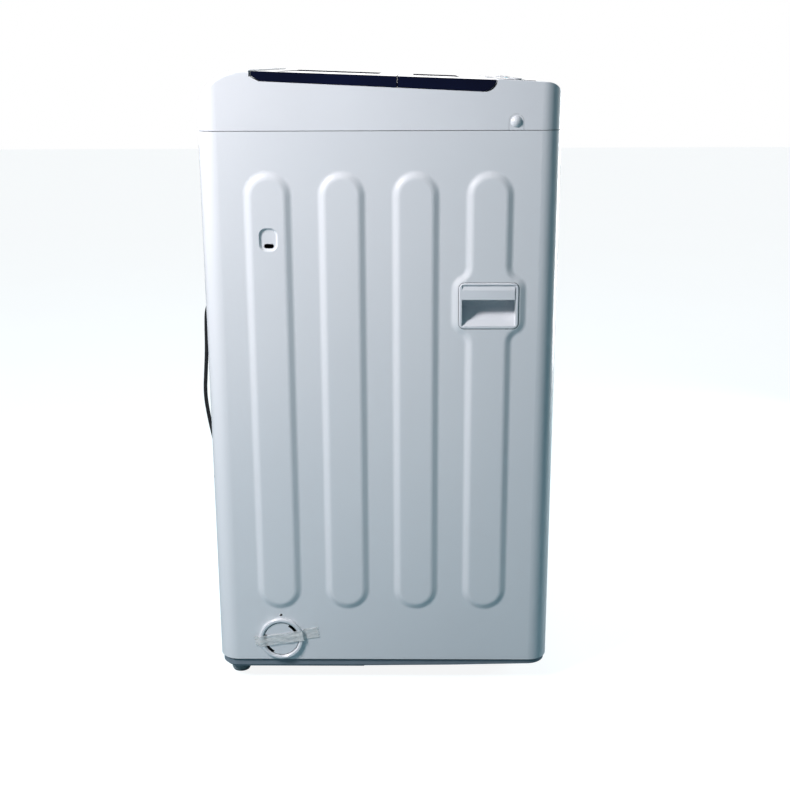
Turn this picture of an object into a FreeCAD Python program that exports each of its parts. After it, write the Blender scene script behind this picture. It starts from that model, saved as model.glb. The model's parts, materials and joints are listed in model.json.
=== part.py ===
import FreeCAD, Part
import math
import os

from FreeCAD import Vector

# A compact top load washing machine of about 45 litres, as an assembly of its real pieces.
# Millimetres. X is the width with the left side at -X, Y is the depth with the front at -Y,
# Z is up, and the feet stand on Z = 0.

# ---------------------------------------------------------------- driving dimensions
WIDTH = 520.0  # over the flat sides
DEPTH = 515.0
CREST_Z = 936.0  # highest point of the top cover
CREST_R = 61.0  # its rear edge
SEAM_Z = 852.0  # upper edge of the steel wrap
WRAP_Z = 39.2  # lower edge of the steel wrap
BASE_LOW_Z = 23.0
BASE_HIGH_Z = 37.0  # top of the visible base strip, a dark gap below the wrap
CORNER_R = 30.0  # vertical corners of the wrap
SHEET = 0.8  # steel thickness
SEAM_GAP = 0.9
HALF_W = WIDTH / 2
HALF_D = DEPTH / 2

# Raised ribs on both sides
RIB_SPACING = 105.2
RIB_MIDDLE_Y = 1.2
RIB_HALF = 33.2  # to the foot of the slope
RIB_LOW_Z = 126.0
RIB_HIGH_Z = 796.5
RIB_RISE = 4.0
RIB_SLOPE = 9.2
RIB_YS = [RIB_MIDDLE_Y + RIB_SPACING * step for step in (1.5, 0.5, -0.5, -1.5)]

# Hand pocket, set into the front rib
POCKET_Y = RIB_YS[3]
POCKET_Z = 604.6
POCKET_W = 86.4
POCKET_H = 67.4
POCKET_R = 8.4
POCKET_DEEP = 38.0
PAD_W = 107.0
PAD_H = 90.0

# Hose hook recess on the rear rib of the left side
HOOK_Y = RIB_YS[0]
HOOK_Z = 701.0

# Drain port, low at the rear of the left side
PORT_Y = 158.5
PORT_Z = 75.2
PORT_R = 34.3
PORT_BORE_R = 27.6
PORT_PROUD = 5.0

# Lid: two leaves on a slanted deck
LID_HALF_W = HALF_W - 0.6
DECK_SLOPE = 0.0485
TOP_SLOPE = 0.0383
LID_REAR_Y = 176.4
LID_FRONT_Y = -162.5
FOLD_Y = -25.4
FOLD_GAP = 1.6
HINGE_Y = 184.0
HINGE_Z = 930.4
DECK_GAP = 1.0

# Finger scoop in the cover, under the lid's front edge
SCOOP_R = 17.0
SCOOP_HALF = 45.0
SCOOP_Y = -160.0
SCOOP_Z = 921.0

# Wash opening, tub and basket
TUB_Y = 8.0
OPENING_W = 330.0
OPENING_D = 270.0
OPENING_R = 90.0
OPENING_Y = 10.0
TUB_R = 209.0
TUB_LOW_Z = 222.0
TUB_HIGH_Z = 792.0
BASKET_R = 191.2
BASKET_WALL = 0.7
BASKET_LOW_Z = 262.0
BASKET_HIGH_Z = 760.0
PULSATOR_R = 145.0
ROD_X = 203.0
ROD_REACH = 203.0  # of each suspension rod from the tub's middle, along Y
SPRING_LOW_Z = 262.0
SPRING_HIGH_Z = 330.0

# Drive, under the tub
BELT_Z = 127.0
DRIVE_PULLEY_R = 74.0
MOTOR_PULLEY_R = 22.0
MOTOR_X = 118.0
MOTOR_Y = TUB_Y - 70.0
GROOVE_DEEP = 8.0

# Control panel
PANEL_Y = -199.0
PANEL_Z = 919.2
PANEL_ANGLE = 3.2  # degrees, rising to the rear
BUTTON_X = {
    "button_power": -150.0,
    "button_program": -105.0,
    "button_level": -62.0,
    "button_function": 62.0,
    "button_start": 150.0,
}
BUTTON_R = {
    "button_power": 8.5,
    "button_program": 7.0,
    "button_level": 7.0,
    "button_function": 7.0,
    "button_start": 10.0,
}

# Feet
REAR_FOOT = (214.0, 230.0)
FRONT_FOOT = (172.0, -215.0)

# Power cord
CORD_D = 7.0
CORD_X = 160.0
CORD_Z = 546.0
CORD_EXIT_Y = 277.0
COIL_X = 317.0
COIL_Y = 150.0
COIL_OUTER_TURN = 42.5  # radius of the outermost turn's centreline
COIL_INNER_TURN = 27.1

SIDE = FreeCAD.Rotation(Vector(1, 1, 1), 120)  # turns (u, v) in the XY plane into (Y, Z)

nodes = {}


# ---------------------------------------------------------------- shape helpers
def box(low, high):
    """A block between two opposite corners."""
    size = Vector(*high) - Vector(*low)
    return Part.makeBox(size.x, size.y, size.z, Vector(*low))


def rod(radius, start, end):
    """A round bar from one point to another."""
    axis = Vector(*end) - Vector(*start)
    return Part.makeCylinder(radius, axis.Length, Vector(*start), axis)


def pipe(outer, inner, start, end):
    return rod(outer, start, end).cut(rod(inner, start, end))


def taper(radius_1, radius_2, start, end):
    axis = Vector(*end) - Vector(*start)
    return Part.makeCone(radius_1, radius_2, axis.Length, Vector(*start), axis)


def fused(shapes):
    first, *rest = shapes
    return first.multiFuse(rest).removeSplitter() if rest else first


def outline(start, *moves):
    """A face in (u, v). Each move holds its end point, or an arc's middle and end points."""
    edges = []
    here = Vector(*start, 0)
    for move in moves + ((start,),):
        end = Vector(*move[-1], 0)
        if (end - here).Length < 1e-6:
            continue
        if len(move) == 2:
            edges.append(Part.Arc(here, Vector(*move[0], 0), end).toShape())
        else:
            edges.append(Part.makeLine(here, end))
        here = end
    return Part.Face(Part.Wire(edges))


def rounded(u, v, width, height, radius):
    """A rectangle with round corners, centred on (u, v)."""
    left, right = u - width / 2, u + width / 2
    low, high = v - height / 2, v + height / 2
    bow = radius * (1 - math.sqrt(0.5))
    return outline(
        (left + radius, low),
        ((right - radius, low),),
        ((right - bow, low + bow), (right, low + radius)),
        ((right, high - radius),),
        ((right - bow, high - bow), (right - radius, high)),
        ((left + radius, high),),
        ((left + bow, high - bow), (left, high - radius)),
        ((left, low + radius),),
        ((left + bow, low + bow), (left + radius, low)),
    )


def upright(face, low, high):
    """A prism that stands on an outline in (X, Y)."""
    return face.translated(Vector(0, 0, low)).extrude(Vector(0, 0, high - low))


def across(face, low, high):
    """A prism along X whose outline is in (Y, Z)."""
    turned = face.copy()
    turned.Placement = FreeCAD.Placement(Vector(low, 0, 0), SIDE)
    return turned.extrude(Vector(high - low, 0, 0))


def footprint(inset, low, high):
    """The machine's plan shape, drawn in by inset."""
    face = rounded(0, 0, WIDTH - 2 * inset, DEPTH - 2 * inset, CORNER_R - inset)
    return upright(face, low, high)


def mirrored(shape):
    """The same shape on the other side of the machine."""
    return shape.mirror(Vector(0, 0, 0), Vector(1, 0, 0))


def both_sides(shape):
    return [shape, mirrored(shape)]


def ring(outer, inner, low, high, x=0.0, y=TUB_Y):
    return pipe(outer, inner, (x, y, low), (x, y, high))


def disc(radius, low, high, x=0.0, y=TUB_Y):
    return rod(radius, (x, y, low), (x, y, high))


def edges_on(shape, test):
    """The edges whose two ends and middle all pass the test."""
    found = []
    for edge in shape.Edges:
        middle = edge.valueAt((edge.FirstParameter + edge.LastParameter) / 2)
        if all(test(point) for point in [middle] + [vertex.Point for vertex in edge.Vertexes]):
            found.append(edge)
    return found


def corners_of_tub():
    """The four suspension points, as (x, y)."""
    return [(sx * ROD_X, TUB_Y + sy * ROD_REACH) for sx in (-1, 1) for sy in (-1, 1)]


def deck_z(y):
    """Height of the lid's underside."""
    return 905.7 + (y + 144.0) * DECK_SLOPE


def lid_top_z(y):
    return 920.7 + (y + 162.4) * TOP_SLOPE


def on_panel(shape):
    """Moves a shape drawn around the origin to the sloping control panel."""
    turn = FreeCAD.Rotation(Vector(1, 0, 0), PANEL_ANGLE)
    placed = shape.copy()
    placed.Placement = FreeCAD.Placement(Vector(0, PANEL_Y, PANEL_Z), turn).multiply(placed.Placement)
    return placed


# ---------------------------------------------------------------- steel wrap
def raised_field(face):
    """A pressed-out field on the right side, with its outline at the foot of the slope."""
    crown_x = HALF_W + RIB_RISE
    blank = across(face, HALF_W - SHEET / 2, crown_x)
    return blank, crown_x


def sloped_sides(blank, crown_x):
    rim = edges_on(blank, lambda point: abs(point.x - crown_x) < 1e-4)
    return blank.makeChamfer(RIB_RISE, RIB_SLOPE, rim)


def rib_blanks():
    """The four rib outlines of one side as straight-sided blocks, the front one with its pad."""
    blanks = []
    high = RIB_HIGH_Z - RIB_LOW_Z
    for y in RIB_YS:
        blank, crown_x = raised_field(rounded(y, RIB_LOW_Z + high / 2, 2 * RIB_HALF, high, RIB_HALF))
        blanks.append(blank)
    pad, crown_x = raised_field(rounded(POCKET_Y, POCKET_Z + 0.5, PAD_W, PAD_H, 22.0))
    joined = blanks[3].fuse(pad).removeSplitter()
    necks = edges_on(
        joined,
        lambda point: abs(abs(point.y - POCKET_Y) - RIB_HALF) < 0.5
        and abs(abs(point.z - POCKET_Z - 0.5) - PAD_H / 2) < 0.5,
    )
    blanks[3] = joined.makeFillet(16.0, necks)
    return blanks, crown_x


def soft_ribs(blanks, crown_x):
    """The ribs of one side with sloping sides and a softened crown edge."""
    ribs = []
    for blank in blanks:
        rib = sloped_sides(blank, crown_x)
        crown = edges_on(rib, lambda point: abs(point.x - crown_x) < 1e-4)
        ribs.append(rib.makeFillet(12.0, crown))
    return ribs


def make_cabinet():
    blanks, crown_x = rib_blanks()
    ribs = soft_ribs(blanks, crown_x)
    hollows = [sloped_sides(blank, crown_x).translated(Vector(-SHEET, 0, 0)) for blank in blanks]
    body = footprint(0, WRAP_Z, SEAM_Z).multiFuse([half for rib in ribs for half in both_sides(rib)])
    feet = edges_on(
        body,
        lambda point: abs(abs(point.x) - HALF_W) < 1e-4 and abs(point.y) < 215 and 100 < point.z < 830,
    )
    body = body.makeFillet(10.0, feet)
    body = body.cut(footprint(SHEET, WRAP_Z - 1, SEAM_Z + 1))
    body = body.cut(Part.Compound([half for hollow in hollows for half in both_sides(hollow)]))
    top_flange = footprint(SHEET / 2, SEAM_Z - SHEET, SEAM_Z).cut(footprint(16, SEAM_Z - 2, SEAM_Z + 1))
    skin_x = -HALF_W - RIB_RISE
    hook_back = across(rounded(HOOK_Y, HOOK_Z, 29, 36, 10), skin_x + SHEET / 2, skin_x + 5)
    body = body.multiFuse([top_flange, hook_back])
    dimple = across(rounded(HOOK_Y, HOOK_Z, 27.0, 33.4, 10.5), skin_x - 1, skin_x + 3.2)
    dimple = dimple.makeChamfer(3.0, edges_on(dimple, lambda point: point.x > skin_x + 3.1))
    hook_hole = across(rounded(HOOK_Y - 0.4, HOOK_Z - 9.4, 14.4, 6.6, 3.2), skin_x - 1, skin_x + 9)
    pocket = across(rounded(POCKET_Y, POCKET_Z, POCKET_W + 1.4, POCKET_H + 1.4, POCKET_R + 0.7), 200, 270)
    port = rod(PORT_R - 1.6, (-HALF_W - 5, PORT_Y, PORT_Z), (-HALF_W + 5, PORT_Y, PORT_Z))
    pilot = rod(2.3, (-HALF_W - 5, PORT_Y, 114.6), (-HALF_W + 5, PORT_Y, 114.6))
    back = box((-214, HALF_D - 6, WRAP_Z - 1), (214, HALF_D + 1, SEAM_Z - 16))
    cuts = [dimple, hook_hole, port, pilot, back] + both_sides(pocket)
    return body.cut(Part.Compound(cuts))


def make_rear_panel():
    """Removable back sheet behind the wrap's rear flanges, with pressed channels and a vent."""
    outer_y = HALF_D - SHEET - 0.2
    plate = box((-226, outer_y - 1, WRAP_Z + 26), (226, outer_y, SEAM_Z - 6))
    channels = []
    for x, low, high in ((-130, 190, 800), (-20, 190, 800), (90, 190, 800)):
        shell = rounded(x, (low + high) / 2, 56, high - low, 27)
        groove = rounded(x, (low + high) / 2, 53.6, high - low - 2.4, 25.8)
        channels.append((shell, groove))
    to_xz = FreeCAD.Placement(Vector(0, 0, 0), FreeCAD.Rotation(Vector(1, 0, 0), 90))

    def pressed(face, near, far):
        turned = face.copy()
        turned.Placement = to_xz
        return turned.translated(Vector(0, near, 0)).extrude(Vector(0, far - near, 0))

    plate = plate.multiFuse([pressed(shell, outer_y - 4, outer_y - 0.5) for shell, groove in channels])
    cuts = [pressed(groove, outer_y - 3, outer_y + 1) for shell, groove in channels]
    for row in range(7):
        cuts.append(pressed(rounded(-130, 96 + 11 * row, 90, 4.4, 2.1), outer_y - 5, outer_y + 1))
    cuts.append(rod(8.6, (CORD_X, outer_y - 5, CORD_Z), (CORD_X, outer_y + 1, CORD_Z)))
    for x, z in screw_places():
        cuts.append(rod(2.2, (x, outer_y - 5, z), (x, outer_y + 1, z)))
    return plate.cut(Part.Compound(cuts))


def screw_places():
    return [(side * 219.5, z) for side in (-1, 1) for z in (90, 330, 590, 830)]


def make_panel_screws():
    """Pan head screws that hold the back sheet to the flanges."""
    screws = []
    for x, z in screw_places():
        head = rod(4.4, (x, HALF_D + 0.05, z), (x, HALF_D + 1.9, z))
        slot = box((x - 3, HALF_D + 1.2, z - 0.5), (x + 3, HALF_D + 3, z + 0.5))
        cross = box((x - 0.5, HALF_D + 1.2, z - 3), (x + 0.5, HALF_D + 3, z + 3))
        head = head.makeChamfer(0.7, edges_on(head, lambda point: point.y > HALF_D + 1.8))
        screws.append(head.cut(Part.Compound([slot, cross])))
    return Part.Compound(screws)


# ---------------------------------------------------------------- base and feet
def make_base_frame():
    """Moulded base ring with an upstand inside the wrap, corner blocks and two cross beams."""
    strip = footprint(3.0, BASE_LOW_Z, BASE_HIGH_Z)
    strip = strip.makeChamfer(5.0, edges_on(strip, lambda point: point.z < BASE_LOW_Z + 0.1))
    hollow = upright(rounded(0, 0, WIDTH - 90, DEPTH - 90, 12), 20.0, WRAP_Z + 5)
    strip = strip.cut(hollow)
    groove = footprint(9.0, BASE_LOW_Z - 1, 32.0).cut(footprint(20.0, BASE_LOW_Z - 2, 33.0))
    strip = strip.cut(groove)
    rising = outline((-HALF_D - 1, 20), ((30, 20),), ((30, 25),), ((-HALF_D - 1, 31.5),))
    strip = strip.cut(across(rising, -HALF_W, HALF_W))
    neck = footprint(7.0, BASE_HIGH_Z - 2, WRAP_Z + 2).cut(footprint(12.0, BASE_HIGH_Z - 3, WRAP_Z + 3))
    ledge = footprint(SHEET + 0.6, WRAP_Z + 1, WRAP_Z + 4).cut(footprint(12.0, WRAP_Z, WRAP_Z + 5))
    upstand = footprint(SHEET + 0.6, WRAP_Z + 1, 62).cut(footprint(SHEET + 4.0, WRAP_Z, 63))
    pieces = [strip, neck, ledge, upstand]
    for x in (-1, 1):
        pieces.append(box((x * 222 - 34, 190, 31), (x * 222 + 34, 252, 55)))
        pieces.append(box((x * 195 - 56, -252, 33), (x * 195 + 56, -182, 55)))
    for y in (-120, 120):
        pieces.append(box((-240, y - 16, 33), (240, y + 16, 46)))
    limits = [
        footprint(3.0, 20, BASE_HIGH_Z),
        footprint(7.0, 20, WRAP_Z + 2),
        footprint(SHEET + 0.6, WRAP_Z + 1, 70),
    ]
    body = fused(pieces).common(fused(limits))
    for x, y in [REAR_FOOT, (-REAR_FOOT[0], REAR_FOOT[1])]:
        body = body.cut(rod(6.05, (x, y, 20), (x, y, 70)))
        body = body.cut(rod(11.2, (x, y, 20), (x, y, 31)))
    for x, y in [FRONT_FOOT, (-FRONT_FOOT[0], FRONT_FOOT[1])]:
        body = body.cut(rod(5.05, (x, y, 20), (x, y, 70)))
    return body.cut(rod(PORT_R, (-HALF_W, PORT_Y, PORT_Z), (-HALF_W + 12, PORT_Y, PORT_Z)))


def rear_foot(x, y):
    """Fixed rubber foot, a stepped pad with a plug that snaps into the base."""
    pad = taper(13.0, 15.0, (x, y, 0), (x, y, 4)).fuse(rod(15.0, (x, y, 4), (x, y, 11)))
    neck = taper(15.0, 11.0, (x, y, 11), (x, y, 16)).fuse(rod(11.0, (x, y, 16), (x, y, 30.9)))
    plug = rod(6.0, (x, y, 30), (x, y, 50))
    return fused([pad, neck, plug])


def front_foot(x, y):
    """Levelling foot: a moulded pad on an M10 stud with a hexagon to turn it."""
    pad = taper(12.5, 15.0, (x, y, 0), (x, y, 3)).fuse(rod(15.0, (x, y, 3), (x, y, 10)))
    across_flats = 9.5
    points = [Vector(x + across_flats * math.cos(math.radians(60 * k)),
                     y + across_flats * math.sin(math.radians(60 * k)), 10) for k in range(7)]
    hexagon = Part.Face(Part.makePolygon(points)).extrude(Vector(0, 0, 12))
    stud = rod(5.0, (x, y, 20), (x, y, 74))
    return fused([pad, hexagon, stud])


# ---------------------------------------------------------------- top cover
def cover_outline():
    """Side view of the cover: rear crest, slanted deck for the lid, and control panel front."""
    front_r = 24.0
    flatter = 2.0  # the crest's curve is this much flatter than a quarter circle
    crest_y = HALF_D - CREST_R
    lean = math.sqrt(0.5)
    front_y = -HALF_D + front_r
    front_z = 917.2
    return outline(
        (HALF_D, SEAM_Z + SEAM_GAP),
        ((HALF_D, CREST_Z - CREST_R),),
        ((crest_y + CREST_R * lean - flatter, CREST_Z - CREST_R + CREST_R * lean - flatter), (crest_y, CREST_Z)),
        ((179.8, 935.4),),
        ((179.8, 926.6),),
        ((165.8, deck_z(165.8) - DECK_GAP),),
        ((-146.0, deck_z(-146.0) - DECK_GAP),),
        ((-159.6, 909.6), (-164.6, 921.3)),
        ((front_y, front_z),),
        ((front_y - front_r * lean, front_z - front_r + front_r * lean), (-HALF_D, front_z - front_r)),
        ((-HALF_D, SEAM_Z + SEAM_GAP),),
    )


def wash_opening(grow, low, high):
    face = rounded(0, OPENING_Y, OPENING_W + 2 * grow, OPENING_D + 2 * grow, OPENING_R + grow)
    return upright(face, low, high)


def cap_outline(grow):
    """The arched plate that covers the cover's side screw, standing on the seam."""
    half = 10.2 + grow
    y = -191.2
    shoulder = 864.5
    foot = SEAM_Z + SEAM_GAP - 1
    return outline((y - half, foot), ((y + half, foot),), ((y + half, shoulder),),
                   ((y, shoulder + half), (y - half, shoulder)))


def make_top_cover():
    side_view = cover_outline()
    plan = footprint(0, SEAM_Z + SEAM_GAP, CREST_Z + 4)
    outer = across(side_view, -HALF_W, HALF_W).common(plan)
    rims = edges_on(outer, lambda point: abs(abs(point.x) - HALF_W) < 1e-4 and (
        (point.y > 180 and point.z > CREST_Z - CREST_R - 1) or (point.y < -165 and point.z > 893)))
    outer = outer.makeFillet(6.0, rims)
    wall = 2.5
    inner_view = side_view.makeOffset2D(-wall)
    inner = across(inner_view, -HALF_W + wall, HALF_W - wall).common(footprint(wall, SEAM_Z, CREST_Z))
    inner = inner.fuse(footprint(wall, SEAM_Z - 1, SEAM_Z + 16))
    shell = outer.cut(inner)
    splash_ring = wash_opening(2.5, 872, 925).common(outer)
    reach = SCOOP_HALF + wall
    scoop_wall = rod(SCOOP_R + wall, (-reach, SCOOP_Y, SCOOP_Z), (reach, SCOOP_Y, SCOOP_Z))
    pieces = [shell, splash_ring, scoop_wall.common(outer)]
    pieces += hinge_bosses()
    pieces += valve_recess_walls(outer)
    shell = fused(pieces)
    cuts = [wash_opening(0, 860, 940)]
    for x in (-150, 150):
        cuts.append(box((x - 9, 178, 921.5), (x + 9, 191, 945)))
        cuts.append(rod(2.55, (x - 18, HINGE_Y, HINGE_Z), (x + 18, HINGE_Y, HINGE_Z)))
    cuts.append(box((98, 236, 863), (192, 262, 913)))
    for x in (122, 167):
        cuts.append(rod(15.0, (x, 225, 887), (x, 240, 887)))
    cuts += both_sides(across(cap_outline(0.35), HALF_W - 4, HALF_W + 2))
    cuts.append(on_panel(upright(rounded(0, 0, 384, 54, 10), -1.0, 6.0)))
    for name, x in BUTTON_X.items():
        cuts.append(on_panel(rod(BUTTON_R[name] + 0.6, (x, 0, -8), (x, 0, 4))))
    cuts.append(on_panel(box((-31, -11, -8), (31, 11, 4))))
    cuts.append(rod(SCOOP_R, (-SCOOP_HALF, SCOOP_Y, SCOOP_Z), (SCOOP_HALF, SCOOP_Y, SCOOP_Z)))
    return shell.cut(Part.Compound(cuts))


def hinge_bosses():
    """Blocks inside the crest that carry the two hinge pins."""
    blocks = []
    for x in (-150, 150):
        blocks.append(box((x - 20, 177.5, 919), (x + 20, 193, 934.6)).cut(
            across(outline((170, 900), ((181, 900),), ((179.9, 926.6),), ((179.9, 940),), ((170, 940),)),
                   x - 21, x + 21)))
    return blocks


def valve_recess_walls(outer):
    """The walls of the recess that holds the water inlets, clipped to the cover's outline."""
    walls = box((95.5, 233.5, 860.5), (194.5, 262, 915.5)).cut(box((98, 236, 863), (192, 263, 913)))
    return [walls.common(outer)]


def make_screw_caps():
    """Arched plates with a round boss, one on each side."""
    plate = across(cap_outline(0), HALF_W - 3, HALF_W)
    plate = plate.cut(box((HALF_W - 5, -220, 840), (HALF_W + 2, -160, SEAM_Z + SEAM_GAP)))
    ball_r = 9.6
    boss = Part.makeSphere(ball_r, Vector(HALF_W - 5.2, -191.2, 864.3))
    boss = boss.common(box((HALF_W - 0.5, -205, 850), (HALF_W + 8, -175, 880)))
    one = fused([plate, boss])
    return Part.Compound(both_sides(one))


# ---------------------------------------------------------------- lid
def lid_outline(rear, front):
    """Side view of a leaf between two Y values, cut to the lid's rounded ends."""
    whole = outline(
        (LID_REAR_Y, lid_top_z(LID_REAR_Y)),
        ((LID_REAR_Y, 927.4),),
        ((164.2, deck_z(162.0)),),
        ((-144.0, deck_z(-144.0)),),
        ((-157.4, 911.0), (LID_FRONT_Y, lid_top_z(LID_FRONT_Y))),
    )
    keep = outline((rear, 890), ((rear, 950),), ((front, 950),), ((front, 890),))
    return whole.common(keep).Faces[0]


def window_block(rear, front, inset_x, low_cut, high_cut):
    """A slab parallel to the lid's faces, between the two Y values."""
    face = outline(
        (rear, deck_z(rear) + low_cut),
        ((rear, lid_top_z(rear) + high_cut),),
        ((front, lid_top_z(front) + high_cut),),
        ((front, deck_z(front) + low_cut),),
    )
    return across(face, -LID_HALF_W + inset_x, LID_HALF_W - inset_x)


def knuckle_spans():
    """X ranges of the fold's knuckles, alternating between the two leaves."""
    step = 29.0
    return [(-145 + step * k, -145 + step * (k + 1)) for k in range(10)]


def make_lid():
    fold_z = deck_z(FOLD_Y)
    rear_edge = FOLD_Y + FOLD_GAP / 2
    front_edge = FOLD_Y - FOLD_GAP / 2
    leaves = {
        "lid_rear": across(lid_outline(LID_REAR_Y + 1, rear_edge), -LID_HALF_W, LID_HALF_W),
        "lid_front": across(lid_outline(front_edge, LID_FRONT_Y - 1), -LID_HALF_W, LID_HALF_W),
    }
    windows = {"lid_rear": (150.0, 6.0), "lid_front": (-48.0, -122.0)}
    for which, name in enumerate(("lid_rear", "lid_front")):
        high_y, low_y = windows[name]
        body = leaves[name]
        body = body.cut(window_block(high_y, low_y, 60, 9.0, 3.0))
        body = body.cut(window_block(high_y - 7, low_y + 7, 67, -5.0, 3.0))
        glass = window_block(high_y - 0.3, low_y + 0.3, 60.3, 9.05, -1.2)
        nodes[name + "_window"] = glass
        own, other = [], []
        for k, (start, end) in enumerate(knuckle_spans()):
            barrel = rod(3.6, (start + 0.4, FOLD_Y, fold_z), (end - 0.4, FOLD_Y, fold_z))
            relief = rod(4.3, (start, FOLD_Y, fold_z), (end, FOLD_Y, fold_z))
            (own if k % 2 == which else other).append(barrel if k % 2 == which else relief)
        body = body.cut(Part.Compound(other))
        body = body.multiFuse(own)
        body = body.cut(rod(1.55, (-150, FOLD_Y, fold_z), (150, FOLD_Y, fold_z)))
        leaves[name] = body
    arms = []
    for x in (-150, 150):
        eye = rod(5.2, (x - 8.4, HINGE_Y, HINGE_Z), (x + 8.4, HINGE_Y, HINGE_Z))
        arm = box((x - 8.4, 172, 927.6), (x + 8.4, HINGE_Y, 932.4))
        arms.append(eye.fuse(arm))
    rear_leaf = leaves["lid_rear"].multiFuse(arms)
    for x in (-150, 150):
        rear_leaf = rear_leaf.cut(rod(2.6, (x - 12, HINGE_Y, HINGE_Z), (x + 12, HINGE_Y, HINGE_Z)))
    nodes["lid_rear_frame"] = rear_leaf.removeSplitter()
    nodes["lid_front_frame"] = leaves["lid_front"].removeSplitter()
    nodes["lid_fold_pin"] = rod(1.5, (-146, FOLD_Y, fold_z), (146, FOLD_Y, fold_z))
    nodes["lid_hinge_pins"] = Part.Compound(
        [rod(2.5, (x - 17, HINGE_Y, HINGE_Z), (x + 17, HINGE_Y, HINGE_Z)) for x in (-150, 150)])


# ---------------------------------------------------------------- control panel
def make_controls():
    fascia = on_panel(upright(rounded(0, 0, 383, 53, 9.5), -0.95, 0.6))
    holes = [on_panel(rod(BUTTON_R[name] + 0.5, (x, 0, -3), (x, 0, 4))) for name, x in BUTTON_X.items()]
    holes.append(on_panel(upright(rounded(0, 0, 58, 22, 3), -3, 4)))
    nodes["control_fascia"] = fascia.cut(Part.Compound(holes))
    nodes["display_window"] = on_panel(upright(rounded(0, 0, 57.4, 21.4, 2.8), -0.9, 0.5))
    board = box((-175, -22, -15.6), (175, 22, -14))
    display = box((-27, -9, -14), (27, 9, -3.4))
    chips = [box((x, -18, -19.5), (x + 18, -4, -15.6)) for x in (-120, -40, 60)]
    relay = box((110, -16, -31), (130, 10, -15.6))
    switches = [box((x - 3, -3, -14), (x + 3, 3, -9.2)) for x in BUTTON_X.values()]
    nodes["control_board"] = on_panel(fused([board, display, relay] + chips + switches))
    for name, x in BUTTON_X.items():
        radius = BUTTON_R[name]
        cap = rod(radius, (x, 0, -4.2), (x, 0, 2.2))
        crown = edges_on(cap, lambda point: point.z > 2.1)
        cap = cap.makeFillet(0.9, crown)
        collar = rod(radius + 2.2, (x, 0, -6.2), (x, 0, -4.2))
        stem = rod(2.2, (x, 0, -7.8), (x, 0, -6))
        nodes[name] = on_panel(fused([cap, collar, stem]))


# ---------------------------------------------------------------- side fittings
def make_hand_pocket():
    """Right-hand pocket: a rim, a grip bar across its upper half and a finger space behind it."""
    face_x = HALF_W + RIB_RISE + 0.5
    back_x = face_x - POCKET_DEEP
    low = POCKET_Z - POCKET_H / 2
    high = POCKET_Z + POCKET_H / 2
    bar_z = POCKET_Z + 9.2
    body = across(rounded(POCKET_Y, POCKET_Z, POCKET_W, POCKET_H, POCKET_R), back_x, face_x)
    rim = edges_on(body, lambda point: point.x > face_x - 1e-3)
    body = body.makeFillet(1.6, rim)
    # The finger space in (X, Z), cut along Y: in under the bar, then up behind it.
    corner = [(face_x + 2, low + 3.4), (face_x - 1.2, low + 4.6), (face_x - 8.5, low + 12.0),
              (back_x + 5, low + 27.0), (back_x + 3, low + 31.0), (back_x + 3, high - 4.5),
              (face_x - 8.5, high - 4.5), (face_x - 8.5, bar_z + 3),
              (face_x - 6.0, bar_z), (face_x + 2, bar_z)]
    half = POCKET_W / 2 - 4.2
    points = [Vector(x, POCKET_Y - half, z) for x, z in corner]
    space = Part.Face(Part.makePolygon(points + points[:1])).extrude(Vector(0, 2 * half, 0))
    body = body.cut(space)
    # The bar's upper part leans back, and a shadow gap runs down its front end.
    lean = [(face_x + 0.1, bar_z + 13.5), (face_x - 2.4, high - 3.2), (face_x + 0.1, high - 3.2)]
    points = [Vector(x, POCKET_Y - half, z) for x, z in lean]
    bevel = Part.Face(Part.makePolygon(points + points[:1])).extrude(Vector(0, 2 * half, 0))
    body = body.cut(bevel)
    gap = box((face_x - 4, POCKET_Y - half, bar_z - 0.1), (face_x + 1, POCKET_Y - half + 1.6, high - 6))
    body = body.cut(gap)
    return body


def make_port():
    """Drain collar with its cap, and the strip of tape that holds the cap for transport."""
    front_x = -HALF_W - PORT_PROUD
    flange = rod(PORT_R, (-HALF_W - 0.05, PORT_Y, PORT_Z), (front_x, PORT_Y, PORT_Z))
    flange = flange.makeChamfer(1.6, edges_on(flange, lambda point: point.x < front_x + 1e-3))
    sleeve = rod(PORT_R - 2.2, (-HALF_W - 1, PORT_Y, PORT_Z), (-HALF_W + 14, PORT_Y, PORT_Z))
    collar = fused([flange, sleeve])
    bore = rod(PORT_BORE_R, (front_x - 1, PORT_Y, PORT_Z), (-HALF_W + 8, PORT_Y, PORT_Z))
    mouth = taper(PORT_BORE_R, PORT_BORE_R + 2.4, (front_x + 2.2, PORT_Y, PORT_Z),
                  (front_x - 0.2, PORT_Y, PORT_Z))
    spigot = pipe(16.0, 12.5, (-HALF_W + 8, PORT_Y, PORT_Z), (-HALF_W + 34, PORT_Y, PORT_Z))
    outlet = rod(12.5, (-HALF_W + 5, PORT_Y, PORT_Z), (-HALF_W + 40, PORT_Y, PORT_Z))
    nodes["drain_collar"] = collar.cut(Part.Compound([bore, mouth])).fuse(spigot).cut(outlet).removeSplitter()

    cap_x = front_x + 2.0
    cap = rod(PORT_BORE_R - 0.5, (cap_x, PORT_Y, PORT_Z), (cap_x + 4, PORT_Y, PORT_Z))
    cap = cap.makeChamfer(0.8, edges_on(cap, lambda point: point.x < cap_x + 1e-3))
    slots = [arc_slot(62, -10), arc_slot(241, 163)]
    slot_x = cap_x - 1
    nodes["drain_cap"] = cap.cut(Part.Compound([slot.translated(Vector(slot_x, 0, 0)) for slot in slots]))
    nodes["port_tape"] = make_tape(front_x)


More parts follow.
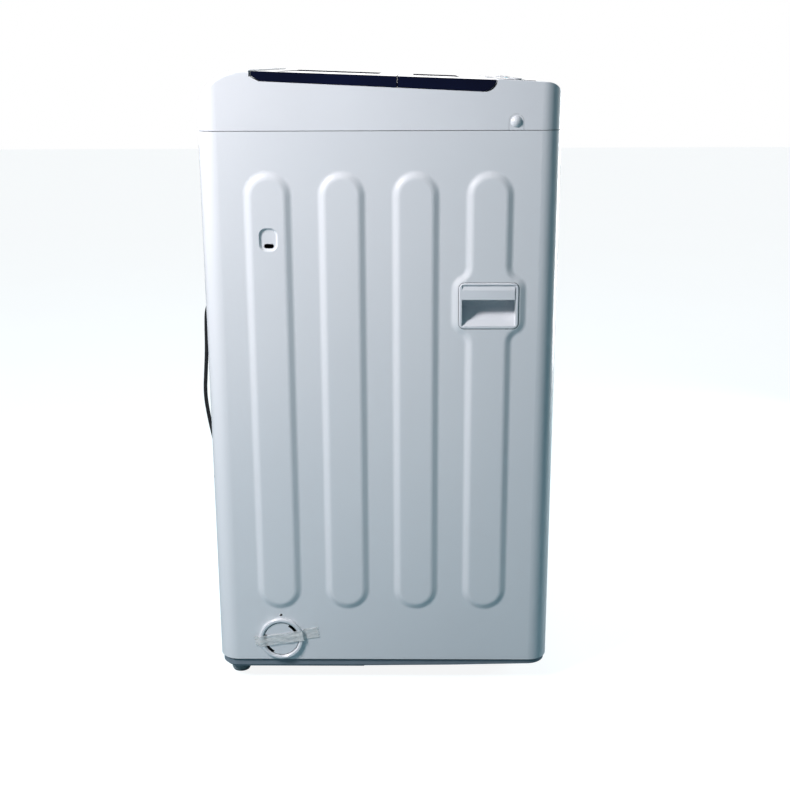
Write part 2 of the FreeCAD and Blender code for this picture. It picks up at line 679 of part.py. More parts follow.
def arc_slot(start, end):
    """An arc-shaped slot near the cap's rim. Angles run from the machine's front, upwards."""
    inner, outer = PORT_BORE_R - 4.6, PORT_BORE_R + 1

    def at(radius, degrees):
        angle = math.radians(degrees)
        return (PORT_Y - radius * math.cos(angle), PORT_Z + radius * math.sin(angle))

    middle = (start + end) / 2
    face = outline(at(inner, start), (at(inner, middle), at(inner, end)), (at(outer, end),),
                   (at(outer, middle), at(outer, start)))
    return across(face, 0, 6)


def make_tape(front_x):
    """Clear film: flat on the panel at both ends, up over the collar and across the cap."""
    film = 0.3
    proud = -front_x - HALF_W
    path = [(-42, 0.1), (-37.5, 0.1), (-34.8, proud + 0.1), (-29, proud + 0.1), (-24, proud - 0.9),
            (24, proud - 0.9), (29, proud + 0.1), (34.8, proud + 0.1), (37.5, 0.1), (59, 0.1)]
    under = [Vector(-HALF_W - height, -along, -9) for along, height in path]
    over = [Vector(-HALF_W - height - film, -along, -9) for along, height in reversed(path)]
    ribbon = Part.Face(Part.makePolygon(under + over + under[:1])).extrude(Vector(0, 0, 18))
    ribbon.rotate(Vector(0, 0, 0), Vector(1, 0, 0), -8.9)
    return ribbon.translated(Vector(0, PORT_Y, PORT_Z + 1.1))


# ---------------------------------------------------------------- water inlet and sensors
def make_inlet():
    spigots = [rod(13.2, (x, 232.9, 887), (x, 256, 887)) for x in (122, 167)]
    body = box((106, 206, 874), (183, 232.9, 900))
    bores = [rod(9.0, (x, 215, 887), (x, 258, 887)) for x in (122, 167)]
    coils = [rod(11.0, (x, 219, 900.1), (x, 219, 915)) for x in (122, 167)]
    nodes["inlet_valve"] = Part.Compound([fused([body] + spigots).cut(Part.Compound(bores))] + coils)
    duct = box((-40, 152, 886), (105.9, 200, 908)).cut(box((-37.5, 154.5, 888.5), (103, 197.5, 905.5)))
    nodes["inlet_duct"] = duct.cut(box((-30, 150, 880), (60, 170, 890)))
    nodes["lid_switch"] = box((182, 96, 897), (204, 132, 913))
    sensor = rod(21.0, (-190, 214, 880), (-190, 214, 896)).fuse(rod(4.0, (-190, 214, 870), (-190, 214, 880)))
    nodes["pressure_sensor"] = sensor.fuse(box((-202, 202, 896), (-178, 226, 903)))


# ---------------------------------------------------------------- suspended tub
def make_tub():
    wall = ring(TUB_R, TUB_R - 3, TUB_LOW_Z, TUB_HIGH_Z)
    floor = disc(TUB_R, TUB_LOW_Z, TUB_LOW_Z + 5)
    boss = disc(42, TUB_LOW_Z - 8, TUB_LOW_Z + 7)
    hoops = [ring(TUB_R + 4, TUB_R - 1, z, z + 4) for z in (420, 560, 700)]
    sump = rod(20, (-110, TUB_Y + 88, 196), (-110, TUB_Y + 88, TUB_LOW_Z + 1))
    lugs = []
    for x, y in corners_of_tub():
        length = math.hypot(x, y - TUB_Y)
        arm = box((TUB_R - 6, -15, SPRING_HIGH_Z), (length, 15, SPRING_HIGH_Z + 20))
        arm.rotate(Vector(0, 0, 0), Vector(0, 0, 1), math.degrees(math.atan2(y - TUB_Y, x)))
        lugs.append(arm.translated(Vector(0, TUB_Y, 0)))
        lugs.append(rod(17, (x, y, SPRING_HIGH_Z), (x, y, SPRING_HIGH_Z + 20)))
    body = fused([wall, floor, boss, sump] + hoops + lugs)
    holes = [rod(6.5, (x, y, 300), (x, y, 380)) for x, y in corners_of_tub()]
    holes.append(disc(15.5, 200, 240))
    holes.append(rod(16.5, (-110, TUB_Y + 88, 190), (-110, TUB_Y + 88, 240)))
    nodes["outer_tub"] = body.cut(Part.Compound(holes))

    lid_ring = ring(TUB_R + 3.6, 172, TUB_HIGH_Z + 12, TUB_HIGH_Z + 16)
    skirt = ring(TUB_R + 3.6, TUB_R + 0.6, TUB_HIGH_Z - 14, TUB_HIGH_Z + 13)
    lip = ring(175, 172, TUB_HIGH_Z + 4, TUB_HIGH_Z + 13)
    nodes["tub_ring"] = fused([lid_ring, skirt, lip])


def make_suspension():
    rods, cups, springs, brackets = [], [], [], []
    turns = 7
    wire_r = 1.7
    for x, y in corners_of_tub():
        rods.append(rod(4.0, (x, y, 248), (x, y, 806)).fuse(Part.makeSphere(9.5, Vector(x, y, 812))))
        cup = rod(17.0, (x, y, SPRING_LOW_Z - 6), (x, y, SPRING_LOW_Z))
        nut = rod(8.0, (x, y, SPRING_LOW_Z - 12), (x, y, SPRING_LOW_Z - 5))
        cups.append(fused([cup, nut]).cut(rod(4.1, (x, y, 200), (x, y, 300))))
        low = SPRING_LOW_Z + 0.2 + wire_r
        high = SPRING_HIGH_Z - 0.2 - wire_r
        springs.append(coil_spring(x, y, low, high, turns, 11.5, wire_r))
        sx = math.copysign(1, x)
        sy = math.copysign(1, y)
        corners = [(259, 257), (170, 257), (170, 228), (230, 170), (259, 170)]
        plate = outline((sx * 259, sy * 257), *[((sx * u, sy * v),) for u, v in corners[1:]])
        plate = upright(plate, 800, 803).common(footprint(SHEET + 0.4, 790, 810))
        plate = plate.cut(box((-228, HALF_D - 6, 790), (228, HALF_D, 810)))
        seat = Part.makeSphere(9.7, Vector(x, y, 812))
        brackets.append(plate.cut(Part.Compound([rod(4.6, (x, y, 790), (x, y, 815)), seat])))
    nodes["suspension_rods"] = Part.Compound(rods)
    nodes["spring_cups"] = Part.Compound(cups)
    nodes["suspension_springs"] = Part.Compound(springs)
    nodes["corner_brackets"] = Part.Compound(brackets)


def coil_spring(x, y, low, high, turns, radius, wire_r):
    helix = Part.makeHelix((high - low) / turns, high - low, radius)
    section = Part.Wire(Part.makeCircle(wire_r, Vector(radius, 0, 0), Vector(0, 1, 0)))
    coil = Part.Wire(helix).makePipeShell([section], True, True)
    return coil.translated(Vector(x, y, low))


def make_basket():
    shell = ring(BASKET_R, BASKET_R - BASKET_WALL, BASKET_LOW_Z, BASKET_HIGH_Z)
    beads = [ring(BASKET_R + 1.6, BASKET_R - BASKET_WALL + 0.2, z, z + 7) for z in (320, 700)]
    hem = ring(BASKET_R, BASKET_R - 14, BASKET_LOW_Z, BASKET_LOW_Z + BASKET_WALL)
    nodes["basket_shell"] = fused([shell, hem] + beads)

    plate = disc(BASKET_R - BASKET_WALL - 0.4, 250, BASKET_LOW_Z - 0.3)
    skirt = ring(BASKET_R, BASKET_R - 12, 244, 251)
    nodes["basket_base"] = fused([plate, skirt]).cut(disc(16, 240, 270))
    flange = disc(62, 242, 249.8)
    spokes = []
    for k in range(3):
        spoke = box((50, -14, 242), (170, 14, 249.8))
        spoke.rotate(Vector(0, 0, 0), Vector(0, 0, 1), 120 * k + 30)
        spokes.append(spoke.translated(Vector(0, TUB_Y, 0)))
    spin_tube = disc(14.5, 209.5, 258)
    nodes["basket_hub"] = fused([flange, spin_tube] + spokes).cut(disc(9.6, 200, 270))

    body = ring(194.5, 166, BASKET_HIGH_Z + 0.2, 790)
    body = body.makeFillet(5.0, edges_on(body, lambda point: point.z > 789))
    root = ring(189.6, 178, 742, BASKET_HIGH_Z + 1)
    nodes["balance_ring"] = fused([body, root])

    frame = box((BASKET_R - 14, -38, 440), (BASKET_R - 3.4, 38, 640))
    window = box((BASKET_R - 20, -30, 452), (BASKET_R + 1, 30, 628))
    bars = [box((BASKET_R - 12, -30, 440 + 26 * k), (BASKET_R - 8, 30, 444 + 26 * k)) for k in range(1, 8)]
    mesh_frame = fused([frame.cut(window)] + bars).common(ring(BASKET_R - 2.2, 150, 430, 650, 0, 0))
    nodes["lint_filter"] = mesh_frame.translated(Vector(0, TUB_Y, 0))


def make_pulsator():
    dish = disc(PULSATOR_R, 268, 274)
    dish = dish.makeFillet(2.5, edges_on(dish, lambda point: point.z > 273.9))
    rim = ring(PULSATOR_R, PULSATOR_R - 5, 264.5, 269)
    dome = Part.makeSphere(62, Vector(0, TUB_Y, 246))
    dome = dome.common(box((-70, TUB_Y - 70, 270), (70, TUB_Y + 70, 320)))
    vanes = []
    for k in range(4):
        inner_end = [Vector(24, -17, 271), Vector(24, 17, 271), Vector(24, 0, 303)]
        outer_end = [Vector(131, -10, 271), Vector(131, 10, 271), Vector(119, 0, 287)]
        sections = [Part.makePolygon(end + end[:1]) for end in (inner_end, outer_end)]
        ridge = Part.makeLoft(sections, True, True)
        ridge.rotate(Vector(0, 0, 0), Vector(0, 0, 1), 90 * k + 20)
        vanes.append(ridge.translated(Vector(0, TUB_Y, 0)))
    well = disc(13, 292, 320)
    cuts = [well, disc(9.05, 255, 286), disc(4.2, 280, 300)]
    nodes["pulsator"] = fused([dish, rim, dome] + vanes).cut(Part.Compound(cuts))
    nodes["pulsator_shaft"] = disc(9.0, 190, 285.8).cut(disc(3.0, 262, 290))
    screw = disc(9.5, 292.05, 297).fuse(disc(2.95, 262.5, 292.1))
    slot = box((-7, TUB_Y - 1, 295), (7, TUB_Y + 1, 300))
    nodes["pulsator_screw"] = screw.cut(slot)


# ---------------------------------------------------------------- drive
def belt_face(grow, motor_grow):
    """The area inside a belt that runs round both pulleys at the given radii."""
    big, small = grow, motor_grow
    start = Vector(0, TUB_Y, 0)
    end = Vector(MOTOR_X, MOTOR_Y, 0)
    gap = (end - start).Length
    heading = math.atan2(end.y - start.y, end.x - start.x)
    spread = math.acos((big - small) / gap)

    def at(centre, radius, angle):
        return (centre.x + radius * math.cos(angle), centre.y + radius * math.sin(angle))

    return outline(
        at(start, big, heading + spread),
        (at(start, big, heading + math.pi), at(start, big, heading - spread)),
        (at(end, small, heading - spread),),
        (at(end, small, heading), at(end, small, heading + spread)),
    )


def pulley(radius, x, y, shaft_r, hub_top):
    """A V belt pulley: two flanges, a groove between them and a hub up to its shaft's bearing."""
    low = BELT_Z - 8.5
    high = BELT_Z + 8.5
    body = disc(radius, low, high, x, y)
    groove = ring(radius + 2, radius - GROOVE_DEEP, BELT_Z - 5.5, BELT_Z + 5.5, x, y)
    body = body.cut(groove).fuse(disc(shaft_r + 6, low, hub_top, x, y))
    if radius > 60:
        lightening = []
        for k in range(5):
            angle = math.radians(72 * k)
            lightening.append(disc(13, low - 1, high + 1, x + 42 * math.cos(angle), y + 42 * math.sin(angle)))
        body = body.cut(Part.Compound(lightening))
    return body.cut(disc(shaft_r, low - 2, hub_top + 2, x, y)).removeSplitter()


def make_drive():
    plate = upright(rounded(10, TUB_Y - 6, 350, 250, 24), 208, 211)
    posts = [disc(10, 208, 221.9, x, TUB_Y - 6 + y) for x in (-150, 170) for y in (-108, 108)]
    bracket = fused([plate] + posts)
    openings = [disc(46, 200, 230), disc(24, 200, 230, -110, TUB_Y + 88)]
    openings.append(disc(14, 200, 230, MOTOR_X, MOTOR_Y))
    nodes["drive_bracket"] = bracket.cut(Part.Compound(openings))

    housing = disc(62, 152, 200)
    housing = housing.makeFillet(8, edges_on(housing, lambda point: point.z < 153))
    gearbox = fused([housing, disc(70, 200, 207.9), disc(24, 140, 153), disc(44, 207, 213.5)])
    gearbox = gearbox.cut(Part.Compound([disc(15.2, 209, 220), disc(10, 186, 212), disc(9.4, 130, 186)]))
    nodes["gearbox"] = gearbox
    big_pulley = pulley(DRIVE_PULLEY_R, 0, TUB_Y, 9.2, 139)
    nodes["drive_pulley"] = big_pulley.fuse(disc(9.2, 112, 184)).removeSplitter()

    can = disc(62, 150, 204, MOTOR_X, MOTOR_Y)
    feet = upright(rounded(MOTOR_X, MOTOR_Y, 116, 116, 14), 204, 207.9).cut(disc(71.5, 200, 210))
    fins = [box((MOTOR_X - 63.5, MOTOR_Y - 40 + 16 * k, 156), (MOTOR_X + 63.5, MOTOR_Y - 36 + 16 * k, 198))
            for k in range(6)]
    fins = [fin.common(disc(65, 156, 198, MOTOR_X, MOTOR_Y)) for fin in fins]
    motor = fused([can, feet, disc(18, 142, 151, MOTOR_X, MOTOR_Y)] + fins)
    nodes["motor"] = motor.cut(disc(7.3, 130, 190, MOTOR_X, MOTOR_Y))
    spindle = disc(7.0, 112, 188, MOTOR_X, MOTOR_Y)
    nodes["motor_pulley"] = pulley(MOTOR_PULLEY_R, MOTOR_X, MOTOR_Y, 7.0, 141).fuse(spindle).removeSplitter()

    outer = belt_face(DRIVE_PULLEY_R - 1, MOTOR_PULLEY_R - 1)
    inner = belt_face(DRIVE_PULLEY_R - GROOVE_DEEP + 0.5, MOTOR_PULLEY_R - GROOVE_DEEP + 0.5)
    nodes["drive_belt"] = upright(outer, BELT_Z - 5, BELT_Z + 5).cut(upright(inner, BELT_Z - 6, BELT_Z + 6))
    nodes["capacitor"] = disc(20, 140, 207.9, -120, -80).fuse(disc(6, 132, 141, -120, -80))


def make_drain():
    x, y = -110.0, TUB_Y + 88
    chamber = disc(24, 158, 195.9, x, y)
    outlet = rod(15, (x - 20, y, 175), (x - 56, y, 175))
    neck = rod(9, (x + 20, y, 175), (x + 32, y, 175))
    body = fused([chamber, outlet, neck])
    body = body.cut(Part.Compound([rod(11.5, (x, y, 175), (x - 60, y, 175)), disc(16.5, 166, 200, x, y)]))
    nodes["drain_valve"] = body
    case = box((x + 52, y - 20, 160), (x + 104, y + 20, 192))
    lug = box((x + 60, y - 12, 192), (x + 96, y + 20, 207.9))
    nodes["drain_actuator"] = fused([case, lug, rod(3, (x + 32.1, y, 175), (x + 53, y, 175))])
    nodes["drain_hose"] = swept_tube(
        [(x - 56.2, y, 175), (x - 72, y, 175), (x - 86, y + 4, 163), (x - 93, y + 16, 141),
         (x - 95, y + 32, 118), (x - 98, y + 48, 97), (x - 102, y + 59, 83),
         (-HALF_W + 46, PORT_Y, PORT_Z), (-HALF_W + 34.2, PORT_Y, PORT_Z)],
        13.8,
    )


# ---------------------------------------------------------------- cords and hoses
def path_edges(points, report=None):
    """Straight runs joined by tangent arcs that are as large as the runs allow."""
    points = [Vector(*point) for point in points]
    edges = []
    here = points[0]
    radii = []
    for before, corner, after in zip(points, points[1:], points[2:]):
        into = corner - before
        out = after - corner
        turn = into.getAngle(out)
        reach = 0.45 * min(into.Length, out.Length)
        radii.append(reach / math.tan(turn / 2))
        start = corner - into.normalize() * reach
        end = corner + out.normalize() * reach
        half = (start + end) * 0.5
        bisector = (half - corner).normalize()
        centre = corner + bisector * (radii[-1] / math.cos(turn / 2))
        middle = centre - bisector * radii[-1]
        edges.append(Part.makeLine(here, start))
        edges.append(Part.Arc(start, middle, end).toShape())
        here = end
    edges.append(Part.makeLine(here, points[-1]))
    if report:
        print(report, "radii", [round(radius, 1) for radius in radii])
    return edges


def swept_tube(points, radius, report=None):
    edges = path_edges(points, report)
    path = Part.Wire(edges)
    heading = Vector(*points[1]) - Vector(*points[0])
    section = Part.Wire(Part.makeCircle(radius, Vector(*points[0]), heading))
    tube = path.makePipeShell([section], True, False)
    if report:
        print(report, "length", round(path.Length, 1), "volume ratio",
              round(tube.Volume / (math.pi * radius * radius * path.Length), 4))
    return tube


CORD_ROUTE = [
    (CORD_X, CORD_EXIT_Y, CORD_Z),
    (CORD_X, 292, 545.5),
    (CORD_X, 306.5, 539.9),
    (CORD_X, 318.4, 529.2),
    (CORD_X, 325.6, 515),
    (160.5, 327.5, 488),
    (161, 328.5, 443),
    (161, 332, 400),
    (160.5, 335.5, 357),
    (159.5, 330, 312),
    (158.5, 321.5, 268),
    (158, 313.5, 222),
    (158, 308.5, 172),
    (158.5, 306, 122),
    (160.5, 305, 80),
    (166, 304.5, 50),
    (178, 304, 26),
    (195, 303.7, 10),
    (216, 303.3, 4.1),
    (240, 302.5, 3.8),
    (260, 296.5, 3.8),
    (274, 283, 3.8),
    (281, 264, 3.8),
    (282, 240, 3.8),
    (279.5, 212, 3.8),
    (276, 187, 3.8),
    (274.8, 165, 3.8),
]


def make_cord():
    radius = CORD_D / 2
    nodes["power_cord"] = swept_tube(CORD_ROUTE, radius, "power cord")
    outer_r = COIL_OUTER_TURN + radius + 0.1
    inner_r = COIL_INNER_TURN - radius - 0.1
    coil = ring(outer_r, inner_r, 0.2, 0.5 + 2 * CORD_D, COIL_X, COIL_Y)
    coil = coil.makeFillet(3.0, [edge for edge in coil.Edges if len(edge.Vertexes) == 1])
    nodes["cord_coil"] = coil

    panel_y = HALF_D - SHEET - 0.2
    flange = rod(13, (CORD_X, panel_y + 0.05, CORD_Z), (CORD_X, panel_y + 3, CORD_Z))
    sleeve = taper(8.0, 5.2, (CORD_X, panel_y + 2.9, CORD_Z), (CORD_X, CORD_EXIT_Y - 0.2, CORD_Z))
    grooves = [pipe(11, 6.2 - 0.55 * k, (CORD_X, panel_y + 6.4 + 4 * k, CORD_Z),
                    (CORD_X, panel_y + 8.2 + 4 * k, CORD_Z)) for k in range(4)]
    barb = rod(8.4, (CORD_X, panel_y - 7, CORD_Z), (CORD_X, panel_y + 1, CORD_Z))
    nodes["cord_strain_relief"] = fused([flange, sleeve, barb]).cut(Part.Compound(grooves))

    plug_x = COIL_X + COIL_OUTER_TURN
    tail_y = 174.0
    sleeve = taper(4.6, 6.5, (plug_x, tail_y, 10.5), (plug_x, tail_y + 28, 12))
    body = box((plug_x - 15, tail_y + 27, 0.3), (plug_x + 15, tail_y + 66, 24))
    body = body.makeFillet(5.0, body.Edges)
    face_y = tail_y + 65
    blades = []
    for x in (plug_x - 6.4, plug_x + 6.4):
        blades.append(box((x - 0.8, face_y, 11.9), (x + 0.8, face_y + 19, 18.1)))
    earth = rod(2.4, (plug_x, face_y, 6.5), (plug_x, face_y + 21, 6.5))
    nodes["mains_plug"] = fused([sleeve, body, earth] + blades)


# ---------------------------------------------------------------- assembly
def build():
    nodes["cabinet"] = make_cabinet()
    nodes["rear_panel"] = make_rear_panel()
    nodes["panel_screws"] = make_panel_screws()
    nodes["base_frame"] = make_base_frame()
    nodes["rear_feet"] = Part.Compound([rear_foot(sx * REAR_FOOT[0], REAR_FOOT[1]) for sx in (-1, 1)])
    nodes["foot_front_left"] = front_foot(-FRONT_FOOT[0], FRONT_FOOT[1])
    nodes["foot_front_right"] = front_foot(FRONT_FOOT[0], FRONT_FOOT[1])
    nodes["top_cover"] = make_top_cover()
    nodes["screw_caps"] = make_screw_caps()
    make_lid()
    make_controls()
    pocket = make_hand_pocket()
    nodes["hand_pocket_right"] = pocket
    nodes["hand_pocket_left"] = mirrored(pocket)
    make_port()
    make_inlet()
    make_tub()
    make_suspension()
    make_basket()
    make_pulsator()
    make_drive()
    make_drain()
    make_cord()


def write():
    os.makedirs("parts", exist_ok=True)
    for name, shape in nodes.items():
        if not shape.isValid():
            print("not valid:", name)
        shape.exportStep(os.path.join("parts", name + ".step"))
    print(len(nodes), "nodes")


build()
write()
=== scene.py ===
"""Looks of a compact top load washing machine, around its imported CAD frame.

Metres, Z up, the machine's front towards -Y and its left side towards -X.
"""
import json
import math

import bpy
from mathutils import Matrix, Vector


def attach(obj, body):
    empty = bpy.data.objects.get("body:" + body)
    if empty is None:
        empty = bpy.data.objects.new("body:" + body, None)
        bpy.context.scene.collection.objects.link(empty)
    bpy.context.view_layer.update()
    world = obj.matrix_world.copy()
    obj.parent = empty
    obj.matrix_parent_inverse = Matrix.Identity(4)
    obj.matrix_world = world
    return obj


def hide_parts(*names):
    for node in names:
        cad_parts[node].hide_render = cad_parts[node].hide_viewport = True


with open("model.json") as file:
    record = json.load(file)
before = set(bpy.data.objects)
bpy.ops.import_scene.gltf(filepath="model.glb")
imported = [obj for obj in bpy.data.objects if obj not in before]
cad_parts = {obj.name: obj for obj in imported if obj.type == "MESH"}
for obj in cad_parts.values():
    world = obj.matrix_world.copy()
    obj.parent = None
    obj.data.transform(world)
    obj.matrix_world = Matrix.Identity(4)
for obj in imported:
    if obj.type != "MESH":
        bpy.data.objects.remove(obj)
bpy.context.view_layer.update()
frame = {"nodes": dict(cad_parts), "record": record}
nodes = frame["nodes"]
scene = bpy.context.scene

PORT_X, PORT_Y, PORT_Z = -0.255, 0.1585, 0.0752  # middle of the drain port, behind its cap's face
PORT_RADIUS = 0.029  # the painted shade inside the port reaches this far from the middle
CAP_FACE_X = -0.2625  # just behind the cap's outer face
PANEL_X = -0.26  # the flat sheet of the machine's left side
TUB_Y = 0.008  # the tub's upright axis stands at X 0 and this Y


# ---------------------------------------------------------------- camera
CAMERA_PLACE = (-1.9697, -0.0449, 0.944)
CAMERA_PITCH = 15.48  # degrees down
CAMERA_YAW = 0.81  # degrees from +X towards +Y
CAMERA_ROLL = -0.24  # degrees
SENSOR_MM, LENS_MM = 36.0, 54.7


def make_camera():
    pitch, yaw, roll = math.radians(CAMERA_PITCH), math.radians(CAMERA_YAW), math.radians(CAMERA_ROLL)
    look = Vector((math.cos(pitch) * math.cos(yaw), math.cos(pitch) * math.sin(yaw), -math.sin(pitch)))
    level = look.cross(Vector((0, 0, 1))).normalized()
    upright = level.cross(look)
    right = level * math.cos(roll) + upright * math.sin(roll)
    up = upright * math.cos(roll) - level * math.sin(roll)
    data = bpy.data.cameras.new("camera")
    data.sensor_width = SENSOR_MM
    data.lens = LENS_MM
    data.clip_end = 60.0
    camera = bpy.data.objects.new("camera", data)
    scene.collection.objects.link(camera)
    placed = Matrix((right, up, -look)).transposed().to_4x4()
    placed.translation = Vector(CAMERA_PLACE)
    camera.matrix_world = placed
    scene.camera = camera


# ---------------------------------------------------------------- materials
def new_material(name):
    material = bpy.data.materials.new(name)
    material.use_nodes = True
    tree = material.node_tree
    return material, tree, tree.nodes["Principled BSDF"]


def noise(tree, scale, detail=3.0, stretch=(1, 1, 1), roughness=0.5):
    """Noise over the piece's own coordinates, with scale in features per metre."""
    place = tree.nodes.new("ShaderNodeTexCoord")
    mapping = tree.nodes.new("ShaderNodeMapping")
    mapping.inputs["Scale"].default_value = stretch
    texture = tree.nodes.new("ShaderNodeTexNoise")
    texture.inputs["Scale"].default_value = scale
    texture.inputs["Detail"].default_value = detail
    texture.inputs["Roughness"].default_value = roughness
    tree.links.new(place.outputs["Object"], mapping.inputs["Vector"])
    tree.links.new(mapping.outputs["Vector"], texture.inputs["Vector"])
    return texture.outputs["Fac"]


def cells(tree, scale):
    """Flat crystals, each with its own chance colour."""
    place = tree.nodes.new("ShaderNodeTexCoord")
    texture = tree.nodes.new("ShaderNodeTexVoronoi")
    texture.inputs["Scale"].default_value = scale
    tree.links.new(place.outputs["Object"], texture.inputs["Vector"])
    return texture


def ramp(tree, value, low, high, start, end):
    """Maps value from low..high onto start..end."""
    node = tree.nodes.new("ShaderNodeMapRange")
    node.inputs["From Min"].default_value = low
    node.inputs["From Max"].default_value = high
    node.inputs["To Min"].default_value = start
    node.inputs["To Max"].default_value = end
    tree.links.new(value, node.inputs["Value"])
    return node.outputs["Result"]


def blend_colours(tree, value, dark, light):
    """Goes from the dark colour to the light one as value goes from 0 to 1."""
    node = tree.nodes.new("ShaderNodeMix")
    node.data_type = "RGBA"
    node.inputs[6].default_value = (*dark, 1)
    node.inputs[7].default_value = (*light, 1)
    tree.links.new(value, node.inputs[0])
    return node.outputs[2]


def mix_colours(tree, share, first, second):
    """Goes from the first colour, a socket, to the second, a constant, as share goes from 0 to 1."""
    node = tree.nodes.new("ShaderNodeMix")
    node.data_type = "RGBA"
    tree.links.new(share, node.inputs[0])
    tree.links.new(first, node.inputs[6])
    node.inputs[7].default_value = (*second, 1)
    return node.outputs[2]


def bump(tree, shader, value, strength, distance, below=None):
    """Height from value, laid over the bump below it where one is given."""
    node = tree.nodes.new("ShaderNodeBump")
    node.inputs["Strength"].default_value = strength
    node.inputs["Distance"].default_value = distance
    tree.links.new(value, node.inputs["Height"])
    if below is not None:
        tree.links.new(below, node.inputs["Normal"])
    tree.links.new(node.outputs["Normal"], shader.inputs["Normal"])
    return node.outputs["Normal"]


def shade(colour, factor):
    """The same colour, lighter or darker."""
    return tuple(min(1.0, channel * factor) for channel in colour)


def finish_of(name, colour, rough, metal=0.0, coat=0.0, cloud=5.0, vary=0.03, grain=900.0, depth=0.00005,
              grain_strength=0.2, rough_vary=0.05, stretch=(1, 1, 1), specular=0.5):
    """A surface with cloudy colour variation, uneven gloss and a fine grain."""
    material, tree, shader = new_material(name)
    patches = ramp(tree, noise(tree, cloud, 4.0), 0.3, 0.7, 0.0, 1.0)
    tree.links.new(blend_colours(tree, patches, shade(colour, 1 - vary), shade(colour, 1 + vary)),
                   shader.inputs["Base Color"])
    streaks = noise(tree, grain * 0.35, 4.0, stretch)
    roughness = ramp(tree, streaks, 0.3, 0.7, rough - rough_vary, rough + rough_vary)
    tree.links.new(roughness, shader.inputs["Roughness"])
    bump(tree, shader, noise(tree, grain, 2.0, stretch), grain_strength, depth)
    shader.inputs["Metallic"].default_value = metal
    shader.inputs["Coat Weight"].default_value = coat
    shader.inputs["Coat Roughness"].default_value = 0.08
    shader.inputs["Specular IOR Level"].default_value = specular
    return material


def inside_shade_mask(tree):
    """1 on faces of the wrap that look towards the machine's upright axis, 0 on its outside: where the
    painted shade inside the wrap goes.
    """
    place = tree.nodes.new("ShaderNodeTexCoord")
    flat = tree.nodes.new("ShaderNodeVectorMath")
    flat.operation = "MULTIPLY"
    flat.inputs[1].default_value = (1, 1, 0)
    tree.links.new(place.outputs["Object"], flat.inputs[0])
    facing = tree.nodes.new("ShaderNodeVectorMath")
    facing.operation = "DOT_PRODUCT"
    surface = tree.nodes.new("ShaderNodeNewGeometry")
    tree.links.new(flat.outputs["Vector"], facing.inputs[0])
    tree.links.new(surface.outputs["True Normal"], facing.inputs[1])
    return ramp(tree, facing.outputs["Value"], -0.06, -0.1, 0.0, 1.0)


def port_shade_mask(tree):
    """1 inside the drain port, behind the cap's face, and 0 elsewhere: where the port's painted shade goes.
    """
    place = tree.nodes.new("ShaderNodeTexCoord")
    split = tree.nodes.new("ShaderNodeSeparateXYZ")
    tree.links.new(place.outputs["Object"], split.inputs["Vector"])
    distance = tree.nodes.new("ShaderNodeVectorMath")
    distance.operation = "DISTANCE"
    distance.inputs[1].default_value = (PORT_X, PORT_Y, PORT_Z)
    tree.links.new(place.outputs["Object"], distance.inputs[0])
    near = ramp(tree, distance.outputs["Value"], PORT_RADIUS + 0.0003, PORT_RADIUS - 0.0002, 0.0, 1.0)
    behind = ramp(tree, split.outputs["X"], CAP_FACE_X - 0.0003, CAP_FACE_X + 0.0003, 0.0, 1.0)
    both = tree.nodes.new("ShaderNodeMath")
    both.operation = "MULTIPLY"
    tree.links.new(near, both.inputs[0])
    tree.links.new(behind, both.inputs[1])
    return both.outputs["Value"]


def enamel(name):
    """White sprayed enamel on steel, with painted shade on its inside: a faint orange peel and soft low waves
    in the sheet.
    """
    material, tree, shader = new_material(name)
    patches = ramp(tree, noise(tree, 3.0, 3.0), 0.3, 0.7, 0.0, 1.0)
    outside = blend_colours(tree, patches, (0.775, 0.805, 0.84), (0.81, 0.835, 0.865))
    # Painted shade: faces inside the wrap are painted dark grey.
    whole = mix_colours(tree, inside_shade_mask(tree), outside, (0.1, 0.105, 0.11))
    tree.links.new(whole, shader.inputs["Base Color"])
    tree.links.new(ramp(tree, noise(tree, 60.0, 3.0), 0.3, 0.7, 0.3, 0.38), shader.inputs["Roughness"])
    waves = bump(tree, shader, noise(tree, 9.0, 1.0), 0.25, 0.0006)
    bump(tree, shader, noise(tree, 620.0, 2.0), 0.16, 0.00008, waves)
    shader.inputs["Coat Weight"].default_value = 0.35
    shader.inputs["Coat Roughness"].default_value = 0.16
    return material


def galvanised(name):
    """Zinc spangle: flat crystals of different grey."""
    material, tree, shader = new_material(name)
    spangle = cells(tree, 140.0)
    tone = tree.nodes.new("ShaderNodeSeparateColor")
    tree.links.new(spangle.outputs["Color"], tone.inputs["Color"])
    tree.links.new(blend_colours(tree, tone.outputs[0], (0.56, 0.58, 0.6), (0.67, 0.69, 0.71)),
                   shader.inputs["Base Color"])
    tree.links.new(ramp(tree, tone.outputs[1], 0.0, 1.0, 0.32, 0.5), shader.inputs["Roughness"])
    bump(tree, shader, noise(tree, 500.0), 0.15, 0.00006)
    shader.inputs["Metallic"].default_value = 0.85
    return material


def smoked_glass(name, colour, see_through):
    """Tinted clear plastic with a little dust."""
    material, tree, shader = new_material(name)
    dust = ramp(tree, noise(tree, 40.0, 5.0), 0.35, 0.75, 0.0, 1.0)
    tree.links.new(blend_colours(tree, dust, colour, shade(colour, 1.5)), shader.inputs["Base Color"])
    tree.links.new(ramp(tree, dust, 0.0, 1.0, 0.03, 0.09), shader.inputs["Roughness"])
    bump(tree, shader, noise(tree, 30.0, 1.0), 0.06, 0.0002)
    shader.inputs["Transmission Weight"].default_value = see_through
    shader.inputs["IOR"].default_value = 1.49
    shader.inputs["Coat Weight"].default_value = 0.5
    shader.inputs["Coat Roughness"].default_value = 0.03
    return material


